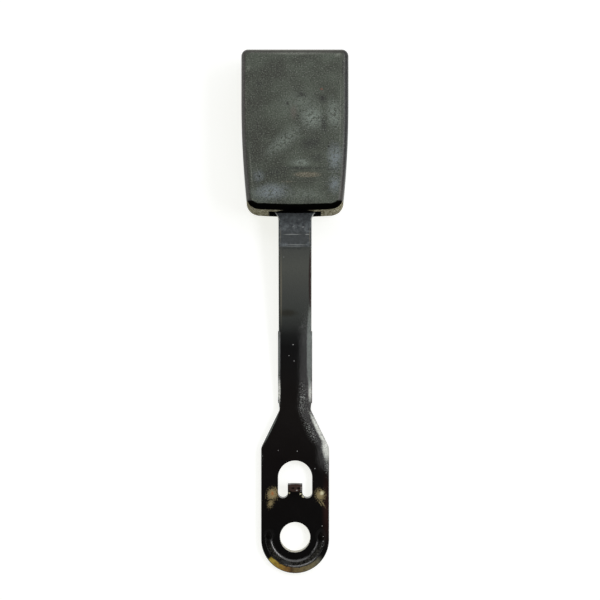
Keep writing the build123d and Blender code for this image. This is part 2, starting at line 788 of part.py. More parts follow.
with BuildPart() as front_cover:
    add(cover_block(parting, (0, 0), front_face, (front_draft_side, front_draft_end), 0))
    fillet(front_cover.faces().sort_by(Axis.Z)[0].edges(), front_edge_r)
    # Shadow line round the rim
    extrude(seam_ring, amount=-seam_height, mode=Mode.SUBTRACT)
    add(cover_block(parting, (wall, wall), floor, floor_inset, wall), mode=Mode.SUBTRACT)
    # Notch for the stalk and mouth for the tongue
    with Locations((0, stalk_reach + wall / 2, (head_low - fit + parting) / 2)):
        Box(2 * notch_half, 3 * wall, parting - head_low + fit, mode=Mode.SUBTRACT)
    with Locations((0, housing_top - wall / 2, (mouth_low + parting) / 2)):
        Box(2 * mouth_half, 3 * wall, parting - mouth_low, mode=Mode.SUBTRACT)
    # Ribs under the frame and seats for the button's springs
    with BuildSketch(Plane.XY.offset(floor)):
        for side in (-1, 1):
            with Locations((side * rib_x, (rib_start + frame_end) / 2)):
                Rectangle(rib_thick, frame_end - rib_start)
    extrude(amount=base_low - floor)
    with BuildSketch(Plane.XY.offset(floor)):
        for side in (-1, 1):
            with Locations((side * button_spring_x, seat_y - seat_thick / 2)):
                Rectangle(2 * button_spring_r, seat_thick)
    extrude(amount=button_spring_z + button_spring_r - floor)
    # Hooks that snap into the back cover beside the mouth
    with BuildSketch(Plane.XZ.offset(-bridge_y)):
        with BuildLine():
            Polyline(
                (inner_half - hook_thick - pin_fit, parting - hook_height),
                (inner_half + hook_root, parting - hook_height),
                (inner_half + hook_root, parting),
                (inner_half - 2 * pin_fit, parting),
                (inner_half - 2 * pin_fit, parting + hook_height / 2),
                (inner_half - 2 * pin_fit + hook_barb, parting + hook_height / 2 + hook_barb),
                (inner_half - 2 * pin_fit, parting + hook_height),
                (inner_half - hook_thick - pin_fit, parting + hook_height),
                close=True,
            )
            mirror(about=Plane.YZ)
        make_face()
    extrude(amount=-hook_length)
    # Bosses for the screws, with their holes and counterbores
    screw_places = [(side * screw_x, screw_y) for side in (-1, 1)]
    with BuildSketch(Plane.XY.offset(floor)):
        with Locations(*screw_places):
            Circle(boss_r)
    extrude(amount=parting - floor)
    with BuildSketch(Plane.XY.offset(front_face)):
        with Locations(*screw_places):
            Circle(screw_head_r + fit)
    extrude(amount=screw_seat - front_face, mode=Mode.SUBTRACT)
    with BuildSketch(Plane.XY.offset(front_face)):
        with Locations(*screw_places):
            Circle(screw_r + fit)
    extrude(amount=parting - front_face, mode=Mode.SUBTRACT)
front_cover.part.label = "front_cover"
export_step(front_cover.part, "parts/front_cover.step")

# Back cover: the plain half, open at its end for the button and the tongue

roof_share = (roof - parting) / (back_face - parting)
roof_inset = (wall + back_draft_side * roof_share, wall + back_draft_end * roof_share)

with BuildPart() as back_cover:
    add(cover_block(parting, (0, 0), back_face, (back_draft_side, back_draft_end), 0))
    fillet(back_cover.faces().sort_by(Axis.Z)[-1].edges(), back_edge_r)
    add(cover_block(parting, (wall, wall), roof, roof_inset, wall), mode=Mode.SUBTRACT)
    # Notch for the stalk, and the openings for the tongue and for the button
    with Locations((0, stalk_reach + wall, parting + notch_height / 2)):
        Box(2 * notch_half, 4 * wall, notch_height, mode=Mode.SUBTRACT)
    with Locations((0, housing_top - wall, (parting + button_low) / 2)):
        Box(2 * mouth_half, 4 * wall, button_low - parting, mode=Mode.SUBTRACT)
    with Locations((0, housing_top - wall, (guide_high + button_high + fit) / 2)):
        Box(2 * (button_half + fit), 4 * wall, button_high + fit - guide_high, mode=Mode.SUBTRACT)
    # Recesses that take the front cover's hooks
    with Locations(
        (-inner_half, bridge_y + hook_length / 2, barb_z),
        (inner_half, bridge_y + hook_length / 2, barb_z),
    ):
        Box(2 * hook_pocket, hook_length + 2 * fit, hook_height / 2 + 2 * fit, mode=Mode.SUBTRACT)
    # Bosses under the roof for the screws and the latch springs
    with BuildSketch(Plane.XY.offset(parting)):
        with Locations(*screw_places):
            Circle(boss_r)
    extrude(amount=roof - parting)
    with BuildSketch(Plane.XY.offset(parting)):
        with Locations(*screw_places):
            Circle(screw_r + pin_fit)
    extrude(amount=screw_seat + screw_length + fit - parting, mode=Mode.SUBTRACT)
    with BuildSketch(Plane.XY.offset(roof)):
        with Locations((-spring_x, spring_y), (spring_x, spring_y)):
            Circle(spring_boss_r)
    extrude(amount=-roof_boss)
back_cover.part.label = "back_cover"
export_step(back_cover.part, "parts/back_cover.step")

# Screws from the front, with a cross recess in the head

with BuildPart() as cover_screws:
    with BuildSketch(Plane.XY.offset(screw_seat)):
        with Locations(*screw_places):
            Circle(screw_head_r)
    extrude(amount=-screw_head)
    with BuildSketch(Plane.XY.offset(screw_seat)):
        with Locations(*screw_places):
            Circle(screw_r)
    extrude(amount=screw_length)
    with BuildSketch(Plane.XY.offset(screw_seat - screw_head)):
        with Locations(*screw_places):
            Rectangle(cross_length, cross_width)
            Rectangle(cross_width, cross_length)
    extrude(amount=cross_depth, mode=Mode.SUBTRACT)
cover_screws.part.label = "cover_screws"
export_step(cover_screws.part, "parts/cover_screws.step")
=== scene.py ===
"""Seat belt buckle on a rigid steel stalk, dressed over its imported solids.

The frame's origin is the centre of the anchor plate's bolt hole, at the plate's mounting face. +Y runs up
the stalk to the mouth for the tongue, and +Z is the side of the plain back cover. Sizes and places below
are in millimetres in that frame, and become metres where a mesh or an object takes them.
"""

import json
import logging
import math
from collections.abc import Callable
from dataclasses import dataclass, field
from enum import Enum

import bpy
import numpy as np
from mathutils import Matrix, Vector

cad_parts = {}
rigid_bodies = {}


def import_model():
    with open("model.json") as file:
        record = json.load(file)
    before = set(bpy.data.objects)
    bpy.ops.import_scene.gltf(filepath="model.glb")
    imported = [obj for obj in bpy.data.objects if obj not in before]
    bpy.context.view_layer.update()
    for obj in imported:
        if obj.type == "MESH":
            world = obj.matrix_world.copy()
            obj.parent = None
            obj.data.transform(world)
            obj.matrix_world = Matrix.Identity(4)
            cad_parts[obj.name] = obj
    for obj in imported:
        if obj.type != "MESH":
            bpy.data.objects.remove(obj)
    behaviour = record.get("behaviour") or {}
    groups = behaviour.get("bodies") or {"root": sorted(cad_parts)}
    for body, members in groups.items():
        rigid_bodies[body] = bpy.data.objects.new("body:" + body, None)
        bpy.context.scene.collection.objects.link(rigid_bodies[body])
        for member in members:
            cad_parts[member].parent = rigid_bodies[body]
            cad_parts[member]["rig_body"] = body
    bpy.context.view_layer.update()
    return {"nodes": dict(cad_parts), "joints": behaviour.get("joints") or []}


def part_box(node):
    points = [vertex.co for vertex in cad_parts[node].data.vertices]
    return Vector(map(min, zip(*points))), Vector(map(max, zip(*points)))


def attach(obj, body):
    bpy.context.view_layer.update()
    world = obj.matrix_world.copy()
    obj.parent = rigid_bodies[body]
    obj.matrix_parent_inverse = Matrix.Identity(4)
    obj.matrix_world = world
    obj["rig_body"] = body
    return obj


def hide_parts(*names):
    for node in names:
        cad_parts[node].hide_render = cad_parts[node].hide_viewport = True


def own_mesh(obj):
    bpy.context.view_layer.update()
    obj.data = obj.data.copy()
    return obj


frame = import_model()

MM = 0.001
LOG = logging.getLogger("buckle")
EVEN = (1.0, 1.0, 1.0)

Triple = tuple[float, float, float]
Colour = Triple
Socket = bpy.types.NodeSocket
Stops = tuple[tuple[float, Colour], ...]
# The value at which a share is 0, and the one at which it is 1
Band = tuple[float, float]
# Points of a skin in millimetres, in an array of rows by points around by three
Rings = np.ndarray


def seen(red: int, green: int, blue: int) -> Colour:
    """Linear colour of a shade given as the eye sees it, 0 to 255 a channel."""
    shares = (channel / 255 for channel in (red, green, blue))
    return tuple(((share + 0.055) / 1.055) ** 2.4 if share > 0.04045 else share / 12.92 for share in shares)


def tinted(shade: Colour, factor: float, lift: float = 0.0) -> Colour:
    """The shade with each channel times the factor plus the lift, at most 1."""
    return tuple(min(1.0, factor * channel + lift) for channel in shade)


class Side(Enum):
    """The two sides of the buckle."""

    LEFT = -1
    RIGHT = 1


class Along(Enum):
    """Axis that a coil runs along, as the index of its coordinate."""

    UP_THE_STALK = 1
    OUT_OF_THE_FACE = 2


# Meshes


def linked(name: str, data: bpy.types.ID) -> bpy.types.Object:
    """A new object of the data, in the scene."""
    made = bpy.data.objects.new(name, data)
    bpy.context.scene.collection.objects.link(made)
    return made


def closed_skin(name: str, rings: Rings, sharp: float = 35.0) -> bpy.types.Object:
    """Mesh object of a tube-like skin, closed at both ends.

    Each ring is joined to the next by four-sided faces, and a fan closes each end on its ring's mean point.
    The enclosed volume's sign, a sum of triple products over the faces, says whether they look outwards.

    Args:
        name: the object's name.
        rings: the skin's points.
        sharp: edges that turn by more than this many degrees stay sharp.

    Returns:
        The new object, in metres, at the origin.
    """
    rows, around, _ = rings.shape
    index = np.arange(rows * around).reshape(rows, around)
    ahead = np.roll(index, -1, axis=1)
    quads = np.stack([index[:-1], ahead[:-1], ahead[1:], index[1:]], axis=-1).reshape(-1, 4)
    tips = np.repeat([[rows * around], [rows * around + 1]], around, axis=1)
    fans = np.stack([[ahead[0], index[-1]], [index[0], ahead[-1]], tips], axis=-1).reshape(-1, 3)
    points = np.concatenate([rings.reshape(-1, 3), rings[0].mean(0)[None], rings[-1].mean(0)[None]]) * MM
    halves = np.concatenate([quads[:, :3], quads[:, [0, 2, 3]], fans])
    first, second, third = (points[halves[:, corner]] for corner in range(3))
    if np.einsum("ij,ij->i", first, np.cross(second, third)).sum() < 0:
        quads, fans = quads[:, ::-1], fans[:, ::-1]
    mesh = bpy.data.meshes.new(name)
    mesh.from_pydata(points.tolist(), [], quads.tolist() + fans.tolist())
    mesh.shade_smooth()
    mesh.set_sharp_from_angle(angle=math.radians(sharp))
    return linked(name, mesh)


def joined(name: str, pieces: list[bpy.types.Object]) -> bpy.types.Object:
    """One object of several pieces that share a node.

    Args:
        name: the new object's name.
        pieces: the objects to join, which are used up.

    Returns:
        The joined object.
    """
    with bpy.context.temp_override(active_object=pieces[0], selected_editable_objects=pieces):
        bpy.ops.object.join()
    pieces[0].name = name
    pieces[0].data.name = name
    return pieces[0]


def turned(profile: np.ndarray, around: int) -> Rings:
    """Rings of a solid turned about the Z axis.

    A point is (r cos a, r sin a, z) for each r and z of the profile and each angle a.

    Args:
        profile: rows of radius and height.
        around: points in each ring.

    Returns:
        The skin's points.
    """
    angle = np.linspace(0, 2 * np.pi, around, endpoint=False)
    radius, height = profile[:, :1], profile[:, 1:]
    flat = np.zeros_like(angle)
    return np.stack([radius * np.cos(angle), radius * np.sin(angle), height + flat], axis=-1)


def round_corner(centre: tuple[float, float], radius: float, steps: int = 8) -> np.ndarray:
    """Points of a quarter arc in a profile, from straight under its centre out to its side.

    Each is the centre plus the radius times the cosine and the sine of an angle from -90 to 0 degrees.

    Args:
        centre: the arc's centre.
        radius: its radius.
        steps: number of points.

    Returns:
        Rows of two coordinates.
    """
    angle = np.radians(np.linspace(-90, 0, steps))
    return np.stack([centre[0] + radius * np.cos(angle), centre[1] + radius * np.sin(angle)], axis=-1)


# Materials


class Look:
    """A material's node tree, with short calls for what the finishes share, in millimetres."""

    def __init__(self, name: str, roughness: float, metallic: float = 0.0, specular: float = 0.5) -> None:
        """Starts a material.

        Args:
            name: the material's name.
            roughness: the shader's roughness, where nothing is linked to it.
            metallic: 1 for bare metal.
            specular: strength of the mirror reflection on what isn't metal.
        """
        self.material = bpy.data.materials.new(name)
        self.material.use_nodes = True
        self.tree = self.material.node_tree
        self.shader = self.tree.nodes["Principled BSDF"]
        self.put("Roughness", roughness)
        self.put("Metallic", metallic)
        self.put("Specular IOR Level", specular)
        coordinates = self.node("TexCoord", {}).outputs
        scaled = self.node("VectorMath", {0: coordinates["Object"], "Scale": 1 / MM}, operation="SCALE")
        self.place = scaled.outputs["Vector"]
        self.facing = self.parts(coordinates["Normal"])
        self.grains: dict["Grain", Socket] = {}

    def feed(self, socket: Socket, value: object) -> None:
        """Links the socket to another socket, or sets its number or colour."""
        if isinstance(value, Socket):
            self.tree.links.new(value, socket)
        elif isinstance(value, tuple) and socket.type == "RGBA":
            socket.default_value = (*value, 1.0)
        else:
            socket.default_value = value

    def put(self, name: str, value: object) -> None:
        """Sets or links one of the shader's inputs."""
        self.feed(self.shader.inputs[name], value)

    def node(self, kind: str, inputs: dict[str | int, object], **choices: str) -> bpy.types.Node:
        """Adds a node.

        Args:
            kind: its type, without the ShaderNode that each begins with.
            inputs: value or socket for each input, by name or index.
            choices: values of its menus.

        Returns:
            The node.
        """
        made = self.tree.nodes.new("ShaderNode" + kind)
        for name, choice in choices.items():
            setattr(made, name, choice)
        for key, value in inputs.items():
            self.feed(made.inputs[key], value)
        return made

    def parts(self, vector: Socket) -> list[Socket]:
        """The three coordinates of a vector."""
        return list(self.node("SeparateXYZ", {0: vector}).outputs)

    def maths(self, operation: str, *values: object) -> Socket:
        """Result of one Math node."""
        return self.node("Math", dict(enumerate(values)), operation=operation).outputs[0]

    def times(self, first: object, *others: object) -> Socket:
        """Product of two or more values."""
        product = first
        for other in others:
            product = self.maths("MULTIPLY", product, other)
        return product

    def scaled(self, value: object, factor: object, offset: object) -> Socket:
        """The value times the factor, plus the offset."""
        return self.maths("MULTIPLY_ADD", value, factor, offset)

    def distance(self, across: Socket, along: Socket) -> Socket:
        """Square root of the sum of the squares of two coordinates."""
        squares = [self.times(part, part) for part in (across, along)]
        return self.maths("SQRT", self.maths("ADD", *squares))

    def step(self, value: object, band: Band) -> Socket:
        """Smooth step from 0 at the band's first value to 1 at its second, which may be the smaller."""
        inputs = {"Value": value, "From Min": band[0], "From Max": band[1], "To Min": 0.0, "To Max": 1.0}
        return self.node("MapRange", inputs, interpolation_type="SMOOTHSTEP").outputs["Result"]

    def within(self, *limits: tuple[object, Band]) -> Socket:
        """Product of smooth steps, each of a value over its band."""
        return self.times(*(self.step(value, band) for value, band in limits))

    def noise(self, size: float, detail: float, rough: float = 0.55, stretch: Triple = EVEN) -> Socket:
        """Noise of features about size millimetres across, drawn out along the axes by stretch."""
        scale = tuple(1 / (size * long) for long in stretch)
        mapping = self.node("Mapping", {"Vector": self.place, "Scale": scale})
        inputs = {"Vector": mapping.outputs[0], "Scale": 1.0, "Detail": detail, "Roughness": rough}
        return self.node("TexNoise", inputs).outputs[0]

    def mix(self, share: object, first: object, second: object) -> Socket:
        """Colour that goes from the first to the second with the share."""
        return self.node("Mix", {"Factor": share, 6: first, 7: second}, data_type="RGBA").outputs[2]

    def ramp(self, value: object, stops: Stops) -> Socket:
        """Colour picked from stops of position and colour."""
        node = self.node("ValToRGB", {0: value})
        band = node.color_ramp
        while len(band.elements) < len(stops):
            band.elements.new(0.5)
        for element, (position, colour) in zip(band.elements, stops):
            element.position = position
            element.color = (*colour, 1.0)
        return node.outputs[0]

    def grain(self, choice: "Grain") -> Socket:
        """One of the shared noises, built once for a material."""
        if choice not in self.grains:
            self.grains[choice] = self.noise(*choice.value)
        return self.grains[choice]

    def mark(self, spot: "Mark", ragged: object, fray: float) -> Socket:
        """Share of a soft oval mark: its strength at its centre, 0 outside.

        The place is moved, turned and divided by the half sizes, and its length steps from the edge inwards.

        Args:
            spot: the mark.
            ragged: noise that frays the edge.
            fray: how far it does, as a share of the half sizes.

        Returns:
            The share.
        """
        inputs = {
            "Vector": self.place,
            "Location": (spot.x, spot.y, spot.z),
            "Rotation": (0.0, 0.0, math.radians(spot.turn)),
            "Scale": (spot.half_x, spot.half_y, spot.half_z),
        }
        mapping = self.node("Mapping", inputs, vector_type="TEXTURE")
        length = self.node("VectorMath", {0: mapping.outputs[0]}, operation="LENGTH").outputs["Value"]
        shift = self.times(self.maths("SUBTRACT", ragged, 0.5), fray)
        return self.times(self.step(self.maths("ADD", length, shift), (1.0, spot.core)), spot.strength)

    def share(self, layer: "Layer") -> Socket:
        """Greatest share among a layer's marks, broken up by its noise."""
        ragged = self.grain(layer.grain)
        share = self.mark(layer.marks[0], ragged, layer.fray)
        for spot in layer.marks[1:]:
            share = self.maths("MAXIMUM", share, self.mark(spot, ragged, layer.fray))
        if not layer.broken:
            return share
        kept = self.step(ragged, (layer.kept_from, layer.kept_from + layer.soft))
        return self.times(share, self.scaled(kept, layer.broken, 1 - layer.broken))

    def lay(self, layers: tuple["Layer", ...], colour: object) -> Socket:
        """The colour with layers of marks laid over it in turn."""
        for layer in layers:
            colour = self.mix(self.share(layer), colour, layer.shade)
        return colour

    def bump(self, height: object, depth: float, strength: float = 1.0) -> None:
        """Adds relief of that depth in millimetres on top of what the shader's normal already has."""
        inputs = {"Strength": strength, "Distance": depth * MM, "Height": height}
        before = self.shader.inputs["Normal"]
        if before.is_linked:
            inputs["Normal"] = before.links[0].from_socket
        self.feed(before, self.node("Bump", inputs).outputs[0])


class Grain(Enum):
    """Noises that the finishes share: size in millimetres, detail and roughness."""

    CLOUD = (7.0, 5.0, 0.55)
    BLOTCH = (1.5, 4.0, 0.68)
    SPECK = (0.5, 2.0, 0.6)


@dataclass(frozen=True)
class Mark:
    """A soft oval mark on a surface, in millimetres and degrees.

    It has its full strength inside the core, a share of its half sizes, and none outside the oval.
    """

    x: float
    y: float
    half_x: float
    half_y: float
    turn: float = 0.0
    strength: float = 1.0
    core: float = 0.35
    z: float = 0.0
    half_z: float = 1000.0


@dataclass(frozen=True)
class Layer:
    """Marks of one shade, frayed and broken up by a noise.

    The broken share of their strength is kept only where the noise is above kept_from, and comes in over the
    next soft.
    """

    shade: Colour
    marks: tuple[Mark, ...]
    grain: Grain = Grain.BLOTCH
    fray: float = 0.6
    broken: float = 0.0
    kept_from: float = 0.4
    soft: float = 0.2

    @classmethod
    def of(cls, shade: Colour, *rows: tuple[float, ...], **noise: object) -> "Layer":
        """A layer whose marks are rows of a Mark's values, in their order."""
        return cls(shade, tuple(Mark(*row) for row in rows), **noise)


@dataclass(frozen=True)
class Moulding:
    """Fine-grained moulded plastic, a little polished where it was handled."""

    name: str
    shade: Colour
    rough: float
    clouds: Band = (0.3, 0.75)
    grain: float = 0.35
    grain_depth: float = 0.02

    def material(self) -> bpy.types.Material:
        """Builds the material: a mottled shade, varied roughness and a fine grain."""
        look = Look(self.name, self.rough)
        cloud = look.grain(Grain.CLOUD)
        pale = tinted(self.shade, 1.25, 0.004)
        look.put("Base Color", look.mix(look.step(cloud, self.clouds), self.shade, pale))
        look.put("Roughness", look.scaled(cloud, 0.12, self.rough - 0.06))
        look.bump(look.noise(self.grain, 2.0), self.grain_depth)
        return look.material


# Marks of wear, painted highlights and painted shade. A row holds the values of a Mark in their order.

BACK_WEAR_SHADE_AND_HIGHLIGHT = (
    # Darker left side and upper end
    Layer.of(
        seen(50, 50, 44), (-15.5, 168, 5, 30, 0, 0.5, 0), (-5, 189, 14, 8, 0, 0.35, 0), grain=Grain.CLOUD
    ),
    # Grey haze on the right, in the middle and under it
    Layer.of(
        seen(142, 153, 144),
        (15.4, 172, 4.6, 8.6, 4, 0.85, 0.2), (6.8, 170.6, 7.6, 7.6, 30, 0.85, 0.2),
        (-4.6, 161.2, 14, 4.6, 38, 0.62, 0.2), (2.5, 152.8, 5.5, 2.4, 0, 0.85, 0.2),
        (3.3, 140, 13, 3.6, 0, 0.4, 0.2), (2, 176, 13, 8, 0, 0.3, 0.2),
        fray=3.2, broken=0.9, kept_from=0.42, soft=0.15,
    ),
    # Bluish haze low on both sides
    Layer.of(
        seen(136, 146, 152),
        (15.9, 154.8, 4.4, 8, 0, 0.8, 0.2), (15.7, 144.2, 3.6, 5.2, 0, 0.7, 0.2),
        (-9.4, 141.2, 10, 4.6, 4, 0.85, 0.2), (-14.4, 147.4, 3.4, 3.4, 0, 0.7, 0.1),
        fray=2.8, broken=0.85, kept_from=0.4, soft=0.16,
    ),
    # Fine pale flecks in both
    Layer.of(
        seen(158, 166, 158),
        (8, 169, 9.5, 9, 20, 0.9, 0.2), (15.6, 170, 4, 9, 0, 0.9, 0.2),
        (-3, 162, 12, 4.4, 38, 0.7, 0), (3, 153, 5.6, 2.2, 0, 0.9, 0.2),
        (15.2, 146, 4, 8, 0, 0.8, 0.2), (-8.5, 141.5, 10, 4.2, 4, 0.8, 0.1),
        (2, 190, 16, 8, 0, 0.4, 0),
        grain=Grain.SPECK, fray=0.8, broken=1, kept_from=0.6, soft=0.08,
    ),
    # Dark smudges and scratches, and a painted shadow line at the upper right of the face
    Layer.of(
        seen(40, 43, 38),
        (-14, 183.9, 2.2, 1.3, -30, 0.9, 0), (2.8, 179.7, 3, 1.6, -8, 0.9, 0),
        (11.2, 177.9, 2.8, 2.1, -25, 1, 0.1), (11.5, 167.5, 2, 6, 8, 0.8, 0),
        (6.4, 160.4, 6.5, 3.6, 10, 0.85, 0), (9, 154.6, 4.5, 2.6, 0, 0.7, 0),
        (1, 150.6, 15, 0.85, 0, 0.9, 0), (-8.5, 148.8, 7, 2.4, 0, 0.6, 0),
        (14.5, 150, 3.5, 0.7, 0, 0.8, 0), (19, 190.5, 0.5, 6, 0, 1, 0.2),
        fray=1.4,
    ),
    # A brownish and a rusty spot
    Layer.of(seen(94, 82, 76), (-0.4, 172.7, 2.2, 4.2, 0, 0.5, 0), fray=0.8),
    Layer.of(seen(150, 72, 46), (10.6, 181.8, 0.8, 0.55, 0, 0.7, 0), grain=Grain.SPECK, fray=1),
    # Scraped bar and the line under it
    Layer.of(
        seen(128, 120, 100),
        (4.9, 148, 6.8, 1.4, 0, 1, 0.5), (-3, 145.2, 4.5, 0.5, 0, 0.6, 0),
        grain=Grain.SPECK, fray=0.8, broken=0.85, kept_from=0.36, soft=0.3,
    ),
    # Rubbed edges and pale nicks; the pale band at the upper end is partly a painted highlight
    Layer.of(
        seen(134, 138, 128),
        (18, 172, 0.5, 26, -0.6, 0.7, 0), (-19.4, 176, 0.45, 24, 0.6, 0.5, 0),
        (17, 195.4, 2.2, 1.2, 0, 1, 0), (1, 196.2, 19, 1.3, 0, 0.9, 0.1),
        (-18.3, 190.1, 0.9, 1.4, 0, 0.9, 0), (-1.4, 182.6, 1.2, 0.4, 0, 0.6, 0),
        (-17.2, 149, 0.5, 16, 5, 0.6, 0), (-16.9, 137.8, 1.1, 0.7, 0, 1, 0),
        (10.8, 190, 0.4, 0.3, 0, 1, 0), (-10.1, 173, 0.5, 0.4, 0, 0.8, 0),
        (-1.3, 156.5, 0.5, 0.4, 0, 0.8, 0),
        grain=Grain.SPECK, fray=0.9, broken=0.6, kept_from=0.45, soft=0.15,
    ),
    # Pits
    Layer.of(
        seen(14, 15, 13),
        (-2.9, 176.2, 0.6, 0.75), (2.1, 173.1, 0.45, 0.4), (1.3, 171.2, 0.7, 0.5, 0, 0.7),
        (10.8, 178.6, 0.6, 0.5), (13.4, 159.2, 0.65, 0.6), (-14, 147.3, 0.55, 0.6),
        (15, 147.2, 0.5, 0.5, 0, 0.8), (18.3, 136.6, 0.5, 0.5),
        grain=Grain.SPECK, fray=0.5,
    ),
)
COVER_EDGES = (
    # Greyed tongue end, partly dust and partly a painted highlight on its rounded edge, and the dark right
    # side, a painted shade
    Layer.of(
        seen(140, 145, 130), (0, 199, 40, 2.8, 0, 0.85, 0.2, 18, 4), grain=Grain.SPECK, fray=1.4, broken=0.6
    ),
    Layer.of(seen(22, 23, 25), (21.2, 168, 3.4, 60, 0, 0.95, 0.4), fray=0.5),
)
PAINT_WEAR_AND_HIGHLIGHTS = (
    # Dull patches at the upper end of the strap and on the neck, where one darkens the painted reflection
    Layer.of(seen(46, 45, 38), (-3.2, 93, 6, 2.2, 0, 0.8, 0.2), fray=0.5),
    Layer.of(seen(48, 53, 54), (0, 123.4, 14, 5.4, 0, 0.85, 0.3), fray=1.2),
    # Edges of the strap: pale grey painted highlights, then brownish and dark
    Layer.of(
        seen(112, 108, 94),
        (-5.7, 103, 0.5, 20, 0, 0.8, 0.2), (-5.9, 125, 0.3, 5, 0, 0.5, 0.2),
        (5.95, 124.5, 0.3, 5, 0, 0.6, 0.2), (6, 91.5, 0.7, 6, 0, 0.4, 0.3),
        fray=0.3,
    ),
    Layer.of(seen(46, 30, 29), (6.4, 106.5, 1, 15.5, 0, 0.85, 0.6), fray=0.3),
    Layer.of(seen(30, 30, 24), (-6.55, 104, 0.5, 18, 0, 0.7, 0.4), fray=0.3),
    # Scratches across the neck
    Layer.of(
        seen(150, 154, 152),
        (-1.3, 125.1, 4.6, 0.25, 0, 0.9, 0.2), (5, 125.1, 1.2, 0.3, 0, 0.9, 0.2),
        (0, 120.9, 5.8, 0.28, 0, 0.6, 0.2), (-0.5, 120.1, 5.2, 0.2, 0, 0.45, 0.2),
        (-0.6, 128.4, 0.9, 0.3, 35, 0.8, 0.1), (3.3, 128.1, 0.7, 0.4, 20, 0.9, 0.1),
        (1.6, 131.2, 0.6, 0.4, 0, 0.5, 0.1), (-4.6, 115.9, 0.35, 0.25, 0, 0.8, 0.1),
        fray=0.8,
    ),
    # Paint rubbed through at both sides of the slot, its pale spots and its rust
    Layer.of(
        seen(162, 146, 106),
        (-9.3, 17.9, 2.7, 3.2, -25, 1, 0.5, 0, 2), (-10.2, 14, 1.5, 2.4, -20, 0.9, 0.2, 0, 2),
        (10.5, 17.6, 2.6, 3, 15, 1, 0.4, 0, 2), (11.5, 14, 0.5, 2.8, 35, 0.9, 0.1, 0, 2),
        (10.4, 14, 0.4, 2.2, 35, 0.7, 0.1, 0, 2),
        grain=Grain.SPECK, fray=2.6, broken=0.45, kept_from=0.34, soft=0.24,
    ),
    Layer.of(
        seen(232, 226, 186),
        (11.1, 18.3, 1.1, 1.2, 0, 1, 0.2, 0, 2), (-2.4, 18.3, 0.5, 0.4), (2.2, 18, 0.6, 0.5),
        (3.2, 16.9, 0.7, 0.4, -40),
        grain=Grain.SPECK, fray=1.2,
    ),
    Layer.of(seen(176, 104, 56), (-9.4, 18.2, 1, 1.2, 0, 0.8, 0.1, 0, 2), fray=1.2),
    # Painted highlights on the edges of the flare, the strap and the neck
    Layer.of(
        seen(246, 248, 240),
        (9.6, 44.6, 9.6, 1.1, -64, 1, 0.4), (12.7, 36.8, 2, 6.5, 8, 1, 0.3),
        (6.2, 60.5, 1, 6.2, 0, 0.8, 0.2), (-6.55, 61, 0.6, 6.4, 0, 1, 0.5),
        (-7.25, 132.7, 2.4, 0.4, -61, 1, 0.4), (7.25, 132.6, 2.4, 0.4, 61, 1, 0.4),
        grain=Grain.SPECK, fray=1.6, broken=0.5, kept_from=0.34, soft=0.2,
    ),
    # Flecks of orange peel: painted highlights of the peel
    Layer.of(
        seen(196, 202, 196),
        (13.1, 30.5, 1.7, 9, 0, 1, 0.2), (-13.5, 33, 0.8, 3, 0, 0.7, 0),
        (3, 57, 3, 13, 0, 0.9, 0.15), (6.5, 44, 10, 3.8, -62, 0.9, 0.15),
        (2.4, 30.8, 1.2, 0.7, 20, 0.9, 0),
        grain=Grain.SPECK, fray=1.8, broken=1, kept_from=0.56, soft=0.07,
    ),
    # Greyed edges of the strap: painted highlights on their rounded edges
    Layer.of(
        seen(118, 125, 121),
        (5.95, 78, 1.3, 20, 0, 0.9, 0.7), (-6.6, 76, 0.55, 14, 0, 0.9, 0.4),
        (-9.85, 44.7, 8.4, 0.25, 64, 1, 0.4),
        grain=Grain.SPECK, fray=0.8, broken=0.3,
    ),
    # Brown right side of the plate
    Layer.of(seen(56, 30, 26), (13, 12, 2.4, 19, 0, 0.5, 0), fray=0.5),
    # Pinpricks
    Layer.of(
        seen(200, 202, 200),
        (11.2, 4.7, 0.22, 0.22, 0, 0.8), (11.6, 0.5, 0.22, 0.22, 0, 0.8),
        (11.6, -1.5, 0.22, 0.22, 0, 0.8), (11.2, -3.6, 0.22, 0.22, 0, 0.8),
        (8.2, 28.5, 0.25, 0.25, 0, 0.8), (-0.8, 80, 0.25, 0.25), (-2.5, 75.4, 0.25, 0.2, 0, 0.7),
        (-0.4, 73.2, 0.25, 0.25), (-7, 36, 0.2, 0.25, 0, 0.5), (0.9, 35.7, 0.25, 0.2, 0, 0.7),
        grain=Grain.SPECK, fray=0.3,
    ),
    # Scuff in the bead
    Layer.of(
        seen(98, 104, 108), (-3.6, -10.3, 3.4, 0.9, -18, 0.6, 0.1), grain=Grain.SPECK, fray=0.8, broken=0.7
    ),
)
TAB_WEAR_AND_HIGHLIGHT = (
    # Brown front of the tab, its two dents and a painted highlight
    Layer.of(seen(66, 50, 44), (0, 21.4, 3.6, 2, 0, 0.8, 0.7, 4, 4), grain=Grain.SPECK, fray=0.2),
    Layer.of(
        seen(4, 4, 4),
        (-0.9, 21.2, 0.8, 0.5, 0, 1, 0.5, 4.2, 1), (1.5, 21.2, 0.8, 0.5, 0, 1, 0.5, 4.2, 1),
        grain=Grain.SPECK, fray=0.4,
    ),
    Layer.of(seen(190, 190, 186), (0.7, 20.3, 0.5, 0.35, 0, 0.9, 0.2, 4.2, 1), grain=Grain.SPECK, fray=0.4),
)


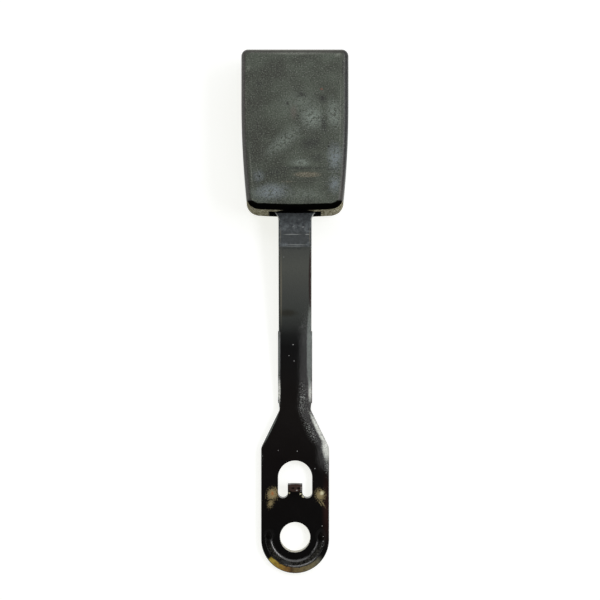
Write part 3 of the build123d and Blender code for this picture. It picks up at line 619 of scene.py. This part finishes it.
@dataclass(frozen=True)
class WornHousing:
    """Satin black plastic, its flat back greyed, with scuffs and pits, its lower edge in painted shade and
    dust.

    The bands of back and steep are the normal's part along Z, and that of lower its part along Y. Those
    whose names end in x, y or z are places in millimetres, and the rest are values of a noise.
    """

    name: str = "black_plastic_worn"
    edge: Colour = seen(56, 54, 50)
    # Near black of the pores, and of the painted shade on the lower edge
    pores_and_shade_black: Colour = seen(5, 5, 4)
    # The end wall's pale dust is partly dust and partly a painted reflection of the floor
    dust: Colour = seen(194, 191, 168)
    grime: Colour = seen(116, 110, 86)
    face: Colour = seen(55, 59, 49)
    pale: Colour = seen(82, 90, 78)
    speck: Colour = seen(128, 132, 122)
    # Painted shadow in the stalk's notch, and the box below
    notch: Layer = Layer.of(seen(3, 3, 3), (0.2, 133, 9.8, 9, 0, 1, 0.9, 8.5, 10), grain=Grain.SPECK, fray=0)
    notch_x: Band = (10.7, 10.5)
    notch_y: Band = (139.0, 138.5)
    roof_z: Band = (13.8, 13.4)
    floor_z: Band = (2.6, 3.0)
    back: Band = (0.9, 0.995)
    back_z: Band = (17.2, 17.9)
    back_clouds: Band = (0.25, 0.8)
    edge_clouds: Band = (0.3, 0.8)
    dots: Band = (0.52, 0.74)
    pores: Band = (0.5, 0.3)
    lower: Band = (-0.03, -0.12)
    lower_y: Band = (138.4, 137.4)
    steep: Band = (0.44, 0.22)
    dusty: Band = (0.15, 0.5)
    pale_dust: Band = (0.38, 0.6)
    grimy: Band = (0.56, 0.4)

    def material(self) -> bpy.types.Material:
        """Builds the material: mottled edges, the back's wear and painted light, painted shade, dust, notch
        shadow.
        """
        look = Look(self.name, 0.5)
        place = look.parts(look.place)
        cloud, _, speck = (look.grain(choice) for choice in Grain)
        back = look.within((look.facing[2], self.back), (place[2], self.back_z))
        face = look.mix(look.step(cloud, self.back_clouds), self.face, self.pale)
        sides = look.mix(look.step(cloud, self.edge_clouds), self.edge, tinted(self.edge, 1.3))
        colour = look.mix(back, look.lay(COVER_EDGES, sides), look.lay(BACK_WEAR_SHADE_AND_HIGHLIGHT, face))
        for band, least, shade in ((self.dots, 0.35, self.speck), (self.pores, 0.3, self.pores_and_shade_black)):
            share = look.times(look.step(speck, band), look.scaled(back, 0.35, least))
            colour = look.mix(share, colour, shade)
        # Painted shade on the lower edge, then the painted shadow of the notch
        under = look.within((look.facing[1], self.lower), (place[1], self.lower_y))
        colour = self.shade_and_dust(look, colour, under)
        colour = look.mix(self.notch_shadow(look, *place), colour, self.notch.shade)
        look.put("Base Color", colour)
        look.put("Roughness", look.scaled(back, 0.14, 0.42))
        look.put("Specular IOR Level", look.scaled(under, -0.5, 0.5))
        look.bump(speck, 0.03)
        look.bump(cloud, 0.25, 0.4)
        return look.material

    def shade_and_dust(self, look: Look, colour: Socket, under: Socket) -> Socket:
        """Lays painted shade on the lower edge, and two shades of dust where that edge gets steep.

        The pale dust also stands for a painted reflection of the floor.

        Args:
            look: the material.
            colour: the plastic so far.
            under: share of the lower edge.

        Returns:
            The colour with the dirt on it.
        """
        blotch, speck = look.grain(Grain.BLOTCH), look.grain(Grain.SPECK)
        # Painted shade: the lower edge made near black
        colour = look.mix(under, colour, self.pores_and_shade_black)
        # Dust film, also a painted reflection of the floor on the steep end wall
        film = look.mix(look.step(blotch, self.pale_dust), self.grime, self.dust)
        film = look.mix(look.step(speck, self.grimy), film, self.grime)
        steep = look.times(under, look.step(look.facing[2], self.steep))
        return look.mix(look.times(steep, look.step(blotch, self.dusty)), colour, film)

    def notch_shadow(self, look: Look, x: Socket, y: Socket, z: Socket) -> Socket:
        """Share of the painted shadow in the stalk's notch: a box with soft edges, and a mark on the roof
        over it.
        """
        wide = look.maths("ABSOLUTE", x)
        box = look.within((wide, self.notch_x), (y, self.notch_y), (z, self.roof_z), (z, self.floor_z))
        return look.maths("MAXIMUM", box, look.share(self.notch))


@dataclass(frozen=True)
class WornPaint:
    """Glossy black stoving paint on the stalk: hazed neck, greyed strap, rubbed spots and a worn rim.

    The bands of shown and faced_down are the normal's part along Z, and those of specks, blotches and
    patches are values of a noise. rim_left and rim_right are shares of a half turn, and the rest are
    places or distances in millimetres. The grey of the strap and the blue-grey of the neck are painted
    reflection, and the bright edges, flecks and the bead's sheen are painted highlights.
    """

    name: str = "black_paint_worn"
    strap_length: float = 140.0
    # Paint shades along the stalk, paler up the strap: a painted reflection of the overhead light
    strap_paint_and_reflection: Stops = (
        (0.0, seen(5, 4, 3)), (30.0, seen(12, 8, 7)), (56.0, seen(20, 17, 15)),
        (79.0, seen(16, 16, 16)), (84.0, seen(28, 29, 28)), (88.0, seen(50, 52, 50)),
        (93.0, seen(62, 65, 62)), (102.0, seen(73, 75, 72)), (112.0, seen(83, 85, 80)),
        (121.0, seen(76, 78, 75)),
    )
    shown: Band = (0.05, 0.3)
    # The neck's blue-grey is a painted reflection of the overhead light, mottled like a haze
    neck_dark: Colour = seen(46, 52, 56)
    neck_pale: Colour = seen(108, 115, 118)
    neck_blotches: Band = (0.28, 0.74)
    neck_y: Band = (119.7, 120.7)
    wall: Colour = seen(150, 143, 114)
    wall_z: Band = (-0.02, -0.3)
    in_hole: Band = (6.4, 6.33)
    # A painted sheen on the bead, broken into specks, on the lower half of the plate's end
    bead_sheen: Colour = seen(56, 55, 50)
    bead_sheen_y: Band = (-1.5, -5.0)
    bead_sheen_specks: Band = (0.4, 0.62)
    bead_r: float = 10.9
    beside_bead: Band = (1.4, 0.3)
    dull: Layer = Layer.of(
        seen(0, 0, 0),
        (-10.8, 1, 3, 3.2, 0, 1, 0.4, 0.8, 2), (10.8, 0.6, 3, 4, 0, 1, 0.4, 0.8, 2),
        (0, 22.4, 4, 1, 0, 1, 0.3, 4, 5),
        grain=Grain.SPECK, fray=0.2,
    )
    rim_shades: Stops = (
        (0.0, seen(184, 166, 72)), (0.22, seen(180, 158, 68)), (0.32, seen(158, 128, 56)),
        (0.42, seen(136, 102, 58)), (0.46, seen(74, 58, 38)), (0.5, seen(116, 100, 68)),
        (0.7, seen(118, 110, 82)), (0.82, seen(112, 112, 102)),
    )
    rim_centre_y: float = -0.9
    rim_from_hole: Band = (12.5, 12.8)
    rim_from_arc: Band = (13.9, 13.6)
    rim_left: Band = (0.19, 0.22)
    rim_right: Band = (0.84, 0.72)
    rim_z: Band = (-1.0, -0.3)
    rim_patches: Band = (0.3, 0.6)
    rim_fray: float = 1.1
    flare_low: float = 37.0
    flare_top: float = 52.8
    plate_half: float = 14.1
    waist_half: float = 6.4
    relief_y: Band = (24.0, 34.0)
    faced_down: Band = (-0.7, -0.4)
    falls: tuple[tuple[float, float, Band], ...] = ((5.5, 0.22, (74.0, 58.0)), (2.0, 0.6, (57.0, 51.0)))
    peel: float = 0.42
    peel_in: Band = (8.0, 1.5)
    peel_y: Band = (104.0, 78.0)

    def material(self) -> bpy.types.Material:
        """Builds the material: paint by its place along the stalk, what was rubbed off it, and relief."""
        look = Look(self.name, 0.2)
        x, y, z = look.parts(look.place)
        cloud, blotch, speck = (look.grain(choice) for choice in Grain)
        # Painted reflection: the paint's shade is picked by the place along the stalk
        stops = tuple((place / self.strap_length, shade) for place, shade in self.strap_paint_and_reflection)
        colour = look.ramp(look.maths("DIVIDE", y, self.strap_length), stops)
        # Painted reflection on the neck, mottled
        on_neck = look.step(y, self.neck_y)
        neck = look.mix(look.step(blotch, self.neck_blotches), self.neck_dark, self.neck_pale)
        colour = look.mix(on_neck, colour, neck)
        shown = look.step(look.facing[2], self.shown)
        colour = look.mix(shown, colour, look.lay(PAINT_WEAR_AND_HIGHLIGHTS, colour))
        colour = look.lay(TAB_WEAR_AND_HIGHLIGHT, colour)
        from_hole = look.distance(x, y)
        colour = self.worn_rim(look, colour, (x, y, z), from_hole)
        # Painted sheen beside the bead's ring, broken into specks
        from_bead = look.maths("ABSOLUTE", look.maths("SUBTRACT", from_hole, self.bead_r))
        bead_sheen_share = look.within((y, self.bead_sheen_y), (speck, self.bead_sheen_specks))
        bead_sheen_share = look.times(look.step(from_bead, self.beside_bead), bead_sheen_share)
        colour = look.mix(bead_sheen_share, colour, self.bead_sheen)
        in_hole = look.within((from_hole, self.in_hole), (z, self.wall_z))
        look.put("Base Color", look.mix(in_hole, colour, self.wall))
        dull = look.share(self.dull)
        polish = look.scaled(look.maths("MAXIMUM", on_neck, dull), 0.35, 0.18)
        look.put("Roughness", look.scaled(cloud, 0.1, polish))
        look.put("Specular IOR Level", look.scaled(dull, -0.7, 0.75))
        self.relief(look, x, y)
        look.bump(blotch, 0.1, 0.8)
        look.bump(speck, 0.04, 0.8)
        return look.material

    def relief(self, look: Look, x: Socket, y: Socket) -> None:
        """Lets the surface fall off gently to the right edge of the strap and the flare.

        The distance to the edge is the half width at that height, which runs straight from the plate's to
        the waist's, less x. Each fall has its reach from the edge, its depth, and the band along the stalk
        over which it ends: the surface drops by the depth, as a smooth step of that distance. The orange
        peel is the finest noise, and grows towards the edge.

        Args:
            look: the material.
            x: place across.
            y: place along.
        """
        inputs = {
            "Value": y,
            "From Min": self.flare_low,
            "From Max": self.flare_top,
            "To Min": self.plate_half,
            "To Max": self.waist_half,
        }
        half = look.node("MapRange", inputs).outputs["Result"]
        inwards = look.maths("SUBTRACT", half, x)
        start = look.within((y, self.relief_y), (look.facing[2], self.faced_down))
        for reach, depth, ending in self.falls:
            fall = look.times(look.within((inwards, (reach, 0.0)), (y, ending)), start)
            look.bump(look.maths("SUBTRACT", 1.0, fall), depth)
        rough = look.times(look.within((inwards, self.peel_in), (y, self.peel_y)), start)
        look.bump(look.times(look.grain(Grain.SPECK), rough), self.peel)

    def worn_rim(self, look: Look, colour: Socket, place: tuple[Socket, ...], from_hole: Socket) -> Socket:
        """Lays the worn band round the plate's end over the paint.

        It starts at a distance from the hole's centre, outside the bead, and ends at a distance from the end
        arc's centre. The angle there, as a share of the half turn from left to right, picks its colour.

        Args:
            look: the material.
            colour: the paint so far.
            place: the three coordinates.
            from_hole: distance from the hole's centre.

        Returns:
            The colour with the band on it.
        """
        x, y, z = place
        blotch = look.grain(Grain.BLOTCH)
        below = look.maths("SUBTRACT", self.rim_centre_y, y)
        frayed = look.times(look.maths("SUBTRACT", blotch, 0.5), self.rim_fray)
        angle = look.maths("DIVIDE", look.maths("ARCTAN2", x, below), math.pi)
        turn = look.maths("ADD", angle, 0.5)
        band = look.within(
            (look.maths("ADD", from_hole, frayed), self.rim_from_hole),
            (look.distance(x, below), self.rim_from_arc),
            (turn, self.rim_left),
            (turn, self.rim_right),
            (z, self.rim_z),
        )
        patches = look.scaled(look.step(blotch, self.rim_patches), 0.45, 0.55)
        return look.mix(look.times(band, patches), colour, look.ramp(turn, self.rim_shades))


@dataclass(frozen=True)
class PlatedSteel:
    """Rolled or drawn steel, bare or with a passivated zinc coat."""

    name: str
    shade: Colour
    rough: float
    draw: Triple = (1.0, 8.0, 1.0)
    clouds: Band = (0.3, 0.75)

    def material(self) -> bpy.types.Material:
        """Builds the material: a shade that clouds over, with fine lines along the way it was drawn."""
        look = Look(self.name, self.rough, 1.0)
        cloud = look.grain(Grain.CLOUD)
        lines = look.noise(0.35, 2.0, 0.6, self.draw)
        dull = tinted(self.shade, 0.72)
        look.put("Base Color", look.mix(look.step(cloud, self.clouds), self.shade, dull))
        look.put("Roughness", look.scaled(lines, 0.2, self.rough - 0.08))
        look.bump(lines, 0.012, 0.5)
        return look.material


@dataclass(frozen=True)
class PressedRed:
    """Glossy red plastic of the button, rubbed paler in the middle of its dish."""

    name: str = "red_plastic_button"
    shade: Colour = seen(196, 38, 30)
    rubbed: Colour = seen(214, 74, 62)
    dish: Mark = Mark(0, 198, 11, 8, 0, 0.6, 0.1, 12, 4)

    def material(self) -> bpy.types.Material:
        """Builds the material: red, paler and duller in the middle, with a fine grain."""
        look = Look(self.name, 0.3)
        middle = look.mark(self.dish, look.grain(Grain.CLOUD), 0.8)
        look.put("Base Color", look.mix(middle, self.shade, self.rubbed))
        look.put("Roughness", look.scaled(middle, 0.25, 0.26))
        look.bump(look.noise(0.4, 2.0), 0.01)
        return look.material


class Finish(Enum):
    """The finishes of the buckle's pieces."""

    HOUSING = WornHousing()
    STALK = WornPaint()
    INNER = Moulding("black_plastic_inner", seen(40, 40, 40), 0.55)
    SLIDE = Moulding("white_plastic_slide", seen(214, 210, 198), 0.45)
    BUTTON = PressedRed()
    ZINC = PlatedSteel("zinc_coated_steel", seen(206, 196, 160), 0.32)
    BRIGHT = PlatedSteel("bright_steel", seen(196, 197, 199), 0.24, (8.0, 1.0, 1.0))
    SPRING = PlatedSteel("spring_wire", seen(168, 169, 172), 0.3)
    SCREW = PlatedSteel("blackened_screw", seen(52, 52, 54), 0.38)


class Dresser:
    """Gives CAD nodes and new pieces their finishes, each material built once."""

    def __init__(self) -> None:
        """Starts with no material built."""
        self.materials: dict[Finish, bpy.types.Material] = {}

    def finish(self, choice: Finish) -> bpy.types.Material:
        """The material of a finish."""
        if choice not in self.materials:
            self.materials[choice] = choice.value.material()
        return self.materials[choice]

    def node(self, name: str, choice: Finish) -> None:
        """Puts a finish on a CAD node."""
        for slot in frame["nodes"][name].material_slots:
            slot.material = self.finish(choice)
        LOG.info("node %s: %s", name, choice.name.lower())

    def stand_in(self, piece: bpy.types.Object, node: str, choice: Finish) -> None:
        """Dresses a new piece that stands for a CAD node and rides where the node does.

        Args:
            piece: the new piece.
            node: the node that it replaces.
            choice: its finish.
        """
        piece.data.materials.clear()
        piece.data.materials.append(self.finish(choice))
        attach(piece, frame["nodes"][node]["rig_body"])
        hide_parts(node)
        LOG.info("piece %s: %s, %d faces", piece.name, choice.name.lower(), len(piece.data.polygons))


def box_mm(node: str) -> tuple[np.ndarray, np.ndarray]:
    """Lowest and highest corner of a CAD node, in millimetres."""
    low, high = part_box(node)
    return np.array(low) / MM, np.array(high) / MM


def joint(name: str) -> dict:
    """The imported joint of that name."""
    return next(entry for entry in frame["joints"] if entry["name"] == name)


# Sub-assemblies


@dataclass
class CoilSpring:
    """A compression spring that stands for its CAD node."""

    node: str
    wire_r: float
    turns: float
    along: Along
    dead_turns: float = 1.0
    dead_pitch: float = 2.04
    around: int = 12
    per_turn: int = 40
    sharp: float = 60.0

    def rings(self) -> Rings:
        """Points of the wire's skin.

        The wire's centre goes round at an even rate. In the dead turns at the ends it climbs by the dead
        pitch, in wire radii a turn, and evenly in between, and a running mean over a quarter turn rounds the
        change. A ring of the wire lies in the plane of the outward direction and the spring's axis.

        Returns:
            The skin's points.
        """
        low, high = box_mm(self.node)
        axis = self.along.value
        side, other = (index for index in range(3) if index != axis)
        middle = (low + high) / 2
        coil_r = (high[side] - low[side]) / 2 - self.wire_r
        length = high[axis] - low[axis] - 2 * self.wire_r
        turn = np.linspace(0, self.turns, int(self.turns * self.per_turn) + 1)
        dead_rise = self.dead_turns * self.dead_pitch * self.wire_r
        knots = [0, self.dead_turns, self.turns - self.dead_turns, self.turns]
        climb = np.interp(turn, knots, [0, dead_rise, length - dead_rise, length])
        window = self.per_turn // 4
        padded = np.pad(climb, window // 2, mode="reflect", reflect_type="odd")
        rounded = np.convolve(padded, np.ones(window) / window, mode="same")
        climb = rounded[window // 2 : window // 2 + len(turn)]
        angle = 2 * np.pi * turn[:, None]
        ring = np.linspace(0, 2 * np.pi, self.around, endpoint=False)[None]
        reach = coil_r + self.wire_r * np.cos(ring)
        points = np.empty((len(turn), self.around, 3))
        points[..., side] = middle[side] + reach * np.cos(angle)
        points[..., other] = middle[other] + reach * np.sin(angle)
        points[..., axis] = low[axis] + self.wire_r + climb[:, None] + self.wire_r * np.sin(ring)
        return points

    def build(self, dresser: Dresser, follows: str, shorter: float, seat_high: bool) -> None:
        """Makes the spring in the place of its node.

        Args:
            dresser: gives the finish.
            follows: the joint that presses it; not used.
            shorter: how much shorter it is at the joint's limit, in millimetres; not used.
            seat_high: True where the end that stays is the one with the greater coordinate.
        """
        low, high = box_mm(self.node)
        axis = self.along.value
        piece = closed_skin(self.node + "_coil", self.rings(), self.sharp)
        dresser.stand_in(piece, self.node, Finish.SPRING)
        anchor = (low + high) / 2
        anchor[axis] = high[axis] if seat_high else low[axis]
        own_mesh(piece)


def fastener_pair(node: str, name: str, rings: Callable[[float, float, float], Rings]) -> bpy.types.Object:
    """Two like fasteners, left and right, in the place of the CAD node that holds both.

    The node's box is as wide along the stalk as one head, and the heads touch its sides.

    Args:
        node: the CAD node.
        name: the new object's name.
        rings: one fastener's points, from the head's radius and its lowest and highest point.

    Returns:
        The two as one object.
    """
    low, high = box_mm(node)
    head_r = (high[1] - low[1]) / 2
    skin = rings(head_r, low[2], high[2])
    pair = []
    for side in Side:
        move = np.array([side.value * (high[0] - head_r), (high[1] + low[1]) / 2, 0.0])
        pair.append(closed_skin(name + "_" + side.name.lower(), skin + move))
    return joined(name, pair)


@dataclass
class Housing:
    """The two covers and the screws that hold them together."""

    thread_pitch: float = 0.9
    thread_depth: float = 0.22
    thread_rows: int = 220
    cross_half: float = 0.32
    cross_reach: float = 1.5
    cross_depth: float = 0.85
    cross_side: float = 0.08
    cross_end: float = 0.3
    face_rows: int = 44
    head_round: float = 0.5
    head_bevel: float = 0.1
    screw_head: float = 1.6
    shank_r: float = 1.3
    point_length: float = 0.8
    around: int = 96

    def screw_rings(self, head_r: float, low: float, high: float) -> Rings:
        """Points of one screw at the Z axis, head down.

        The head and the shank are turned. Inside the cross, where the smaller of |x| and |y| is under its
        half width and the greater under its reach, the head's face is raised into the recess, whose side and
        end slope a little. On the shank the radius falls and rises as a triangle wave of height over the
        pitch less the share of a turn, with crests and roots cut flat.

        Args:
            head_r: the head's radius.
            low: height of the head's face.
            high: height of the shank's tip.

        Returns:
            The skin's points.
        """
        seat = low + self.screw_head
        inset = head_r - self.head_round
        bevel, shank_r = self.head_bevel, self.shank_r
        face = np.linspace((0.02, low), (inset, low), self.face_rows)
        rim = round_corner((inset, low + self.head_round), self.head_round)
        under = np.array([[head_r, seat - bevel], [head_r - bevel, seat], [shank_r + 0.05, seat]])
        shank = np.linspace((shank_r, seat + bevel), (shank_r, high - self.point_length), self.thread_rows)
        tip = np.array([[shank_r * 0.72, high - 0.3], [0.3, high]])
        rings = turned(np.concatenate([face, rim, under, shank, tip]), self.around)
        x, y, z = np.moveaxis(rings[: self.face_rows], -1, 0)
        slim, long = np.minimum(abs(x), abs(y)), np.maximum(abs(x), abs(y))
        in_width = np.clip((self.cross_half - slim) / self.cross_side + 0.5, 0, 1)
        in_reach = np.clip((self.cross_reach - long) / self.cross_end, 0, 1)
        rings[: self.face_rows, :, 2] = z + self.cross_depth * (in_width * in_reach)
        start = self.face_rows + len(rim) + len(under)
        thread = rings[start : start + self.thread_rows]
        angle = np.linspace(0, 1, self.around, endpoint=False)[None]
        wave = abs(2 * ((thread[..., 2] / self.thread_pitch - angle) % 1) - 1)
        taken = 1 - self.thread_depth * np.clip(1.6 * wave - 0.3, 0, 1) / shank_r
        thread[..., :2] *= taken[..., None]
        return rings

    def build(self, dresser: Dresser) -> None:
        """Dresses the covers and makes the screws."""
        for node in ("back_cover", "front_cover"):
            dresser.node(node, Finish.HOUSING)
        screws = fastener_pair("cover_screws", "threaded_screws", self.screw_rings)
        dresser.stand_in(screws, "cover_screws", Finish.SCREW)


@dataclass
class Stalk:
    """The painted stamping and the rivets that hold the latch frame on its head."""

    rivet_r: float = 2.5
    head: float = 1.6
    edge_round: float = 0.9
    dimple_r: float = 1.4
    dimple: float = 0.25
    lip: float = 0.3
    around: int = 64

    def rivet_rings(self, head_r: float, low: float, high: float) -> Rings:
        """Points of one rivet: two turned heads with the punch's dimple, and the shank between.

        Args:
            head_r: radius of its heads.
            low: height of the lower head's face.
            high: height of the upper head's face.

        Returns:
            The skin's points.
        """
        down, up = low + self.head, high - self.head
        inset = head_r - self.edge_round
        dimple = np.array([[0.05, low + self.dimple], [0.6 * self.dimple_r, low + 0.7 * self.dimple]])
        lip = np.array([[self.dimple_r, low + 0.02], [self.dimple_r + self.lip, low]])
        corner = round_corner((inset, low + self.edge_round), self.edge_round)
        half = np.concatenate([dimple, lip, corner, [[head_r, down - 0.05], [head_r - 0.05, down]]])
        mirrored = half[::-1] * np.array([1.0, -1.0]) + np.array([0.0, low + high])
        shank = np.array([[self.rivet_r, down], [self.rivet_r, up]])
        return turned(np.concatenate([half, shank, mirrored]), self.around)

    def build(self, dresser: Dresser) -> None:
        """Dresses the stamping and makes the rivets."""
        dresser.node("anchor_stalk", Finish.STALK)
        rivets = fastener_pair("frame_rivets", "set_rivets", self.rivet_rings)
        dresser.stand_in(rivets, "frame_rivets", Finish.ZINC)


@dataclass
class LatchWorks:
    """Frame, bridge, latch plate with its pin, clips and springs."""

    wire_r: float = 0.3
    turns: float = 4.6

    def build(self, dresser: Dresser) -> None:
        """Dresses the steel pieces and makes the two latch springs."""
        for node in ("latch_frame", "tongue_bridge", "latch_plate"):
            dresser.node(node, Finish.ZINC)
        for node in ("latch_pin", "pin_clips"):
            dresser.node(node, Finish.BRIGHT)
        hinge = joint("latch_tilt")
        angle = math.radians(hinge["range_deg"][1])
        for side in Side:
            node = "latch_spring_" + side.name.lower()
            far_edge = box_mm(node)[1][1] - hinge["pos_m"][1] / MM
            spring = CoilSpring(node, self.wire_r, self.turns, Along.OUT_OF_THE_FACE)
            spring.build(dresser, "latch_tilt", far_edge * math.tan(angle), True)


@dataclass
class Ejector:
    """The slide that pushes the tongue out, with its rod and spring."""

    wire_r: float = 0.2
    turns: float = 11.0

    def build(self, dresser: Dresser) -> None:
        """Dresses the slide and the rod and makes the spring."""
        dresser.node("ejector", Finish.SLIDE)
        dresser.node("ejector_spring_rod", Finish.BRIGHT)
        travel = joint("ejector_slide")["range_m"][1] / MM
        spring = CoilSpring("ejector_spring", self.wire_r, self.turns, Along.UP_THE_STALK)
        spring.build(dresser, "ejector_slide", travel, False)


@dataclass
class ReleaseButton:
    """Button, slider and mouth guide, with the springs that push the slider back."""

    wire_r: float = 0.25
    turns: float = 9.5

    def build(self, dresser: Dresser) -> None:
        """Dresses the mouldings and makes the two springs."""
        dresser.node("press_button", Finish.BUTTON)
        dresser.node("release_slider", Finish.INNER)
        dresser.node("tongue_guide", Finish.INNER)
        travel = joint("button_press")["range_m"][1] / MM
        for side in Side:
            node = "button_spring_" + side.name.lower()
            spring = CoilSpring(node, self.wire_r, self.turns, Along.UP_THE_STALK)
            spring.build(dresser, "button_press", travel, False)


# Studio


@dataclass(frozen=True)
class SoftLamp:
    """A rectangular lamp that looks at a point on the stalk. Metres and watts."""

    name: str
    place: Triple
    aim: Triple
    width: float
    length: float
    power: float

    def build(self) -> None:
        """Hangs the lamp."""
        light = bpy.data.lights.new(self.name, "AREA")
        light.shape = "RECTANGLE"
        light.size = self.width
        light.size_y = self.length
        light.energy = self.power
        lamp = linked(self.name, light)
        lamp.location = self.place
        lamp.rotation_euler = (Vector(self.aim) - Vector(self.place)).to_track_quat("-Z", "Y").to_euler()
        lamp.visible_camera = False


@dataclass
class Studio:
    """Camera, lamps, world and floor. Metres."""

    camera_place: Triple = (0.00203, 0.09836, 0.392)
    photo_width: float = 600.0
    focal_px: float = 945.7
    sensor: float = 36.0
    floor_z: float = -0.003
    floor_half: float = 3.0
    floor_shade: Colour = (0.9, 0.9, 0.89)
    floor_seen: Colour = (0.33, 0.33, 0.38)
    floor_glow: Colour = (0.81, 0.815, 0.765)
    air: Colour = (0.03, 0.03, 0.032)
    lamps: tuple[SoftLamp, ...] = field(
        default_factory=lambda: (
            SoftLamp("overhead", (0.1, 0.95, 0.95), (0.0, 0.14, 0.0), 2.4, 0.9, 12.0),
            SoftLamp("right_key", (0.68, 0.16, 0.72), (0.0, 0.08, 0.0), 0.7, 0.28, 4.4),
            SoftLamp("left_fill", (-0.9, 0.2, 0.3), (0.0, 0.1, 0.0), 0.6, 0.4, 1.6),
            SoftLamp("low_front", (0.15, -0.75, 0.3), (0.0, 0.13, 0.0), 0.6, 0.3, 2.0),
        )
    )

    def build(self) -> None:
        """Sets up what lights and shows the part."""
        scene = bpy.context.scene
        scene.view_settings.view_transform = "Standard"
        view = bpy.data.cameras.new("camera")
        view.sensor_width = self.sensor
        view.lens = self.focal_px * self.sensor / self.photo_width
        camera = linked("camera", view)
        camera.location = self.camera_place
        scene.camera = camera
        for lamp in self.lamps:
            lamp.build()
        scene.world = bpy.data.worlds.new("air")
        scene.world.use_nodes = True
        scene.world.node_tree.nodes["Background"].inputs["Color"].default_value = (*self.air, 1.0)
        self.build_floor()

    def build_floor(self) -> None:
        """Lays the pale floor, which partly glows where it is looked at, so its shadows are faint."""
        half = self.floor_half
        corners = [(-half, -half), (half, -half), (half, half), (-half, half)]
        mesh = bpy.data.meshes.new("floor")
        mesh.from_pydata([(x, y, self.floor_z) for x, y in corners], [], [(0, 1, 2, 3)])
        look = Look("pale_floor", 0.9, 0.0, 0.0)
        rays = look.node("LightPath", {}).outputs
        mirrored = look.maths("MAXIMUM", rays["Is Glossy Ray"], rays["Is Transmission Ray"])
        watched = look.maths("MAXIMUM", rays["Is Camera Ray"], mirrored)
        look.put("Base Color", look.mix(watched, self.floor_shade, self.floor_seen))
        look.put("Emission Color", self.floor_glow)
        look.put("Emission Strength", watched)
        mesh.materials.append(look.material)
        floor = linked("floor", mesh)


def main() -> None:
    """Builds the studio and the sub-assemblies in turn."""
    logging.basicConfig(level=logging.INFO, format="%(name)s: %(message)s")
    dresser = Dresser()
    Studio().build()
    for assembly in (Stalk(), Housing(), LatchWorks(), Ejector(), ReleaseButton()):
        assembly.build(dresser)
        LOG.info("%s is in place", type(assembly).__name__)


if __name__ == "__main__":
    main()
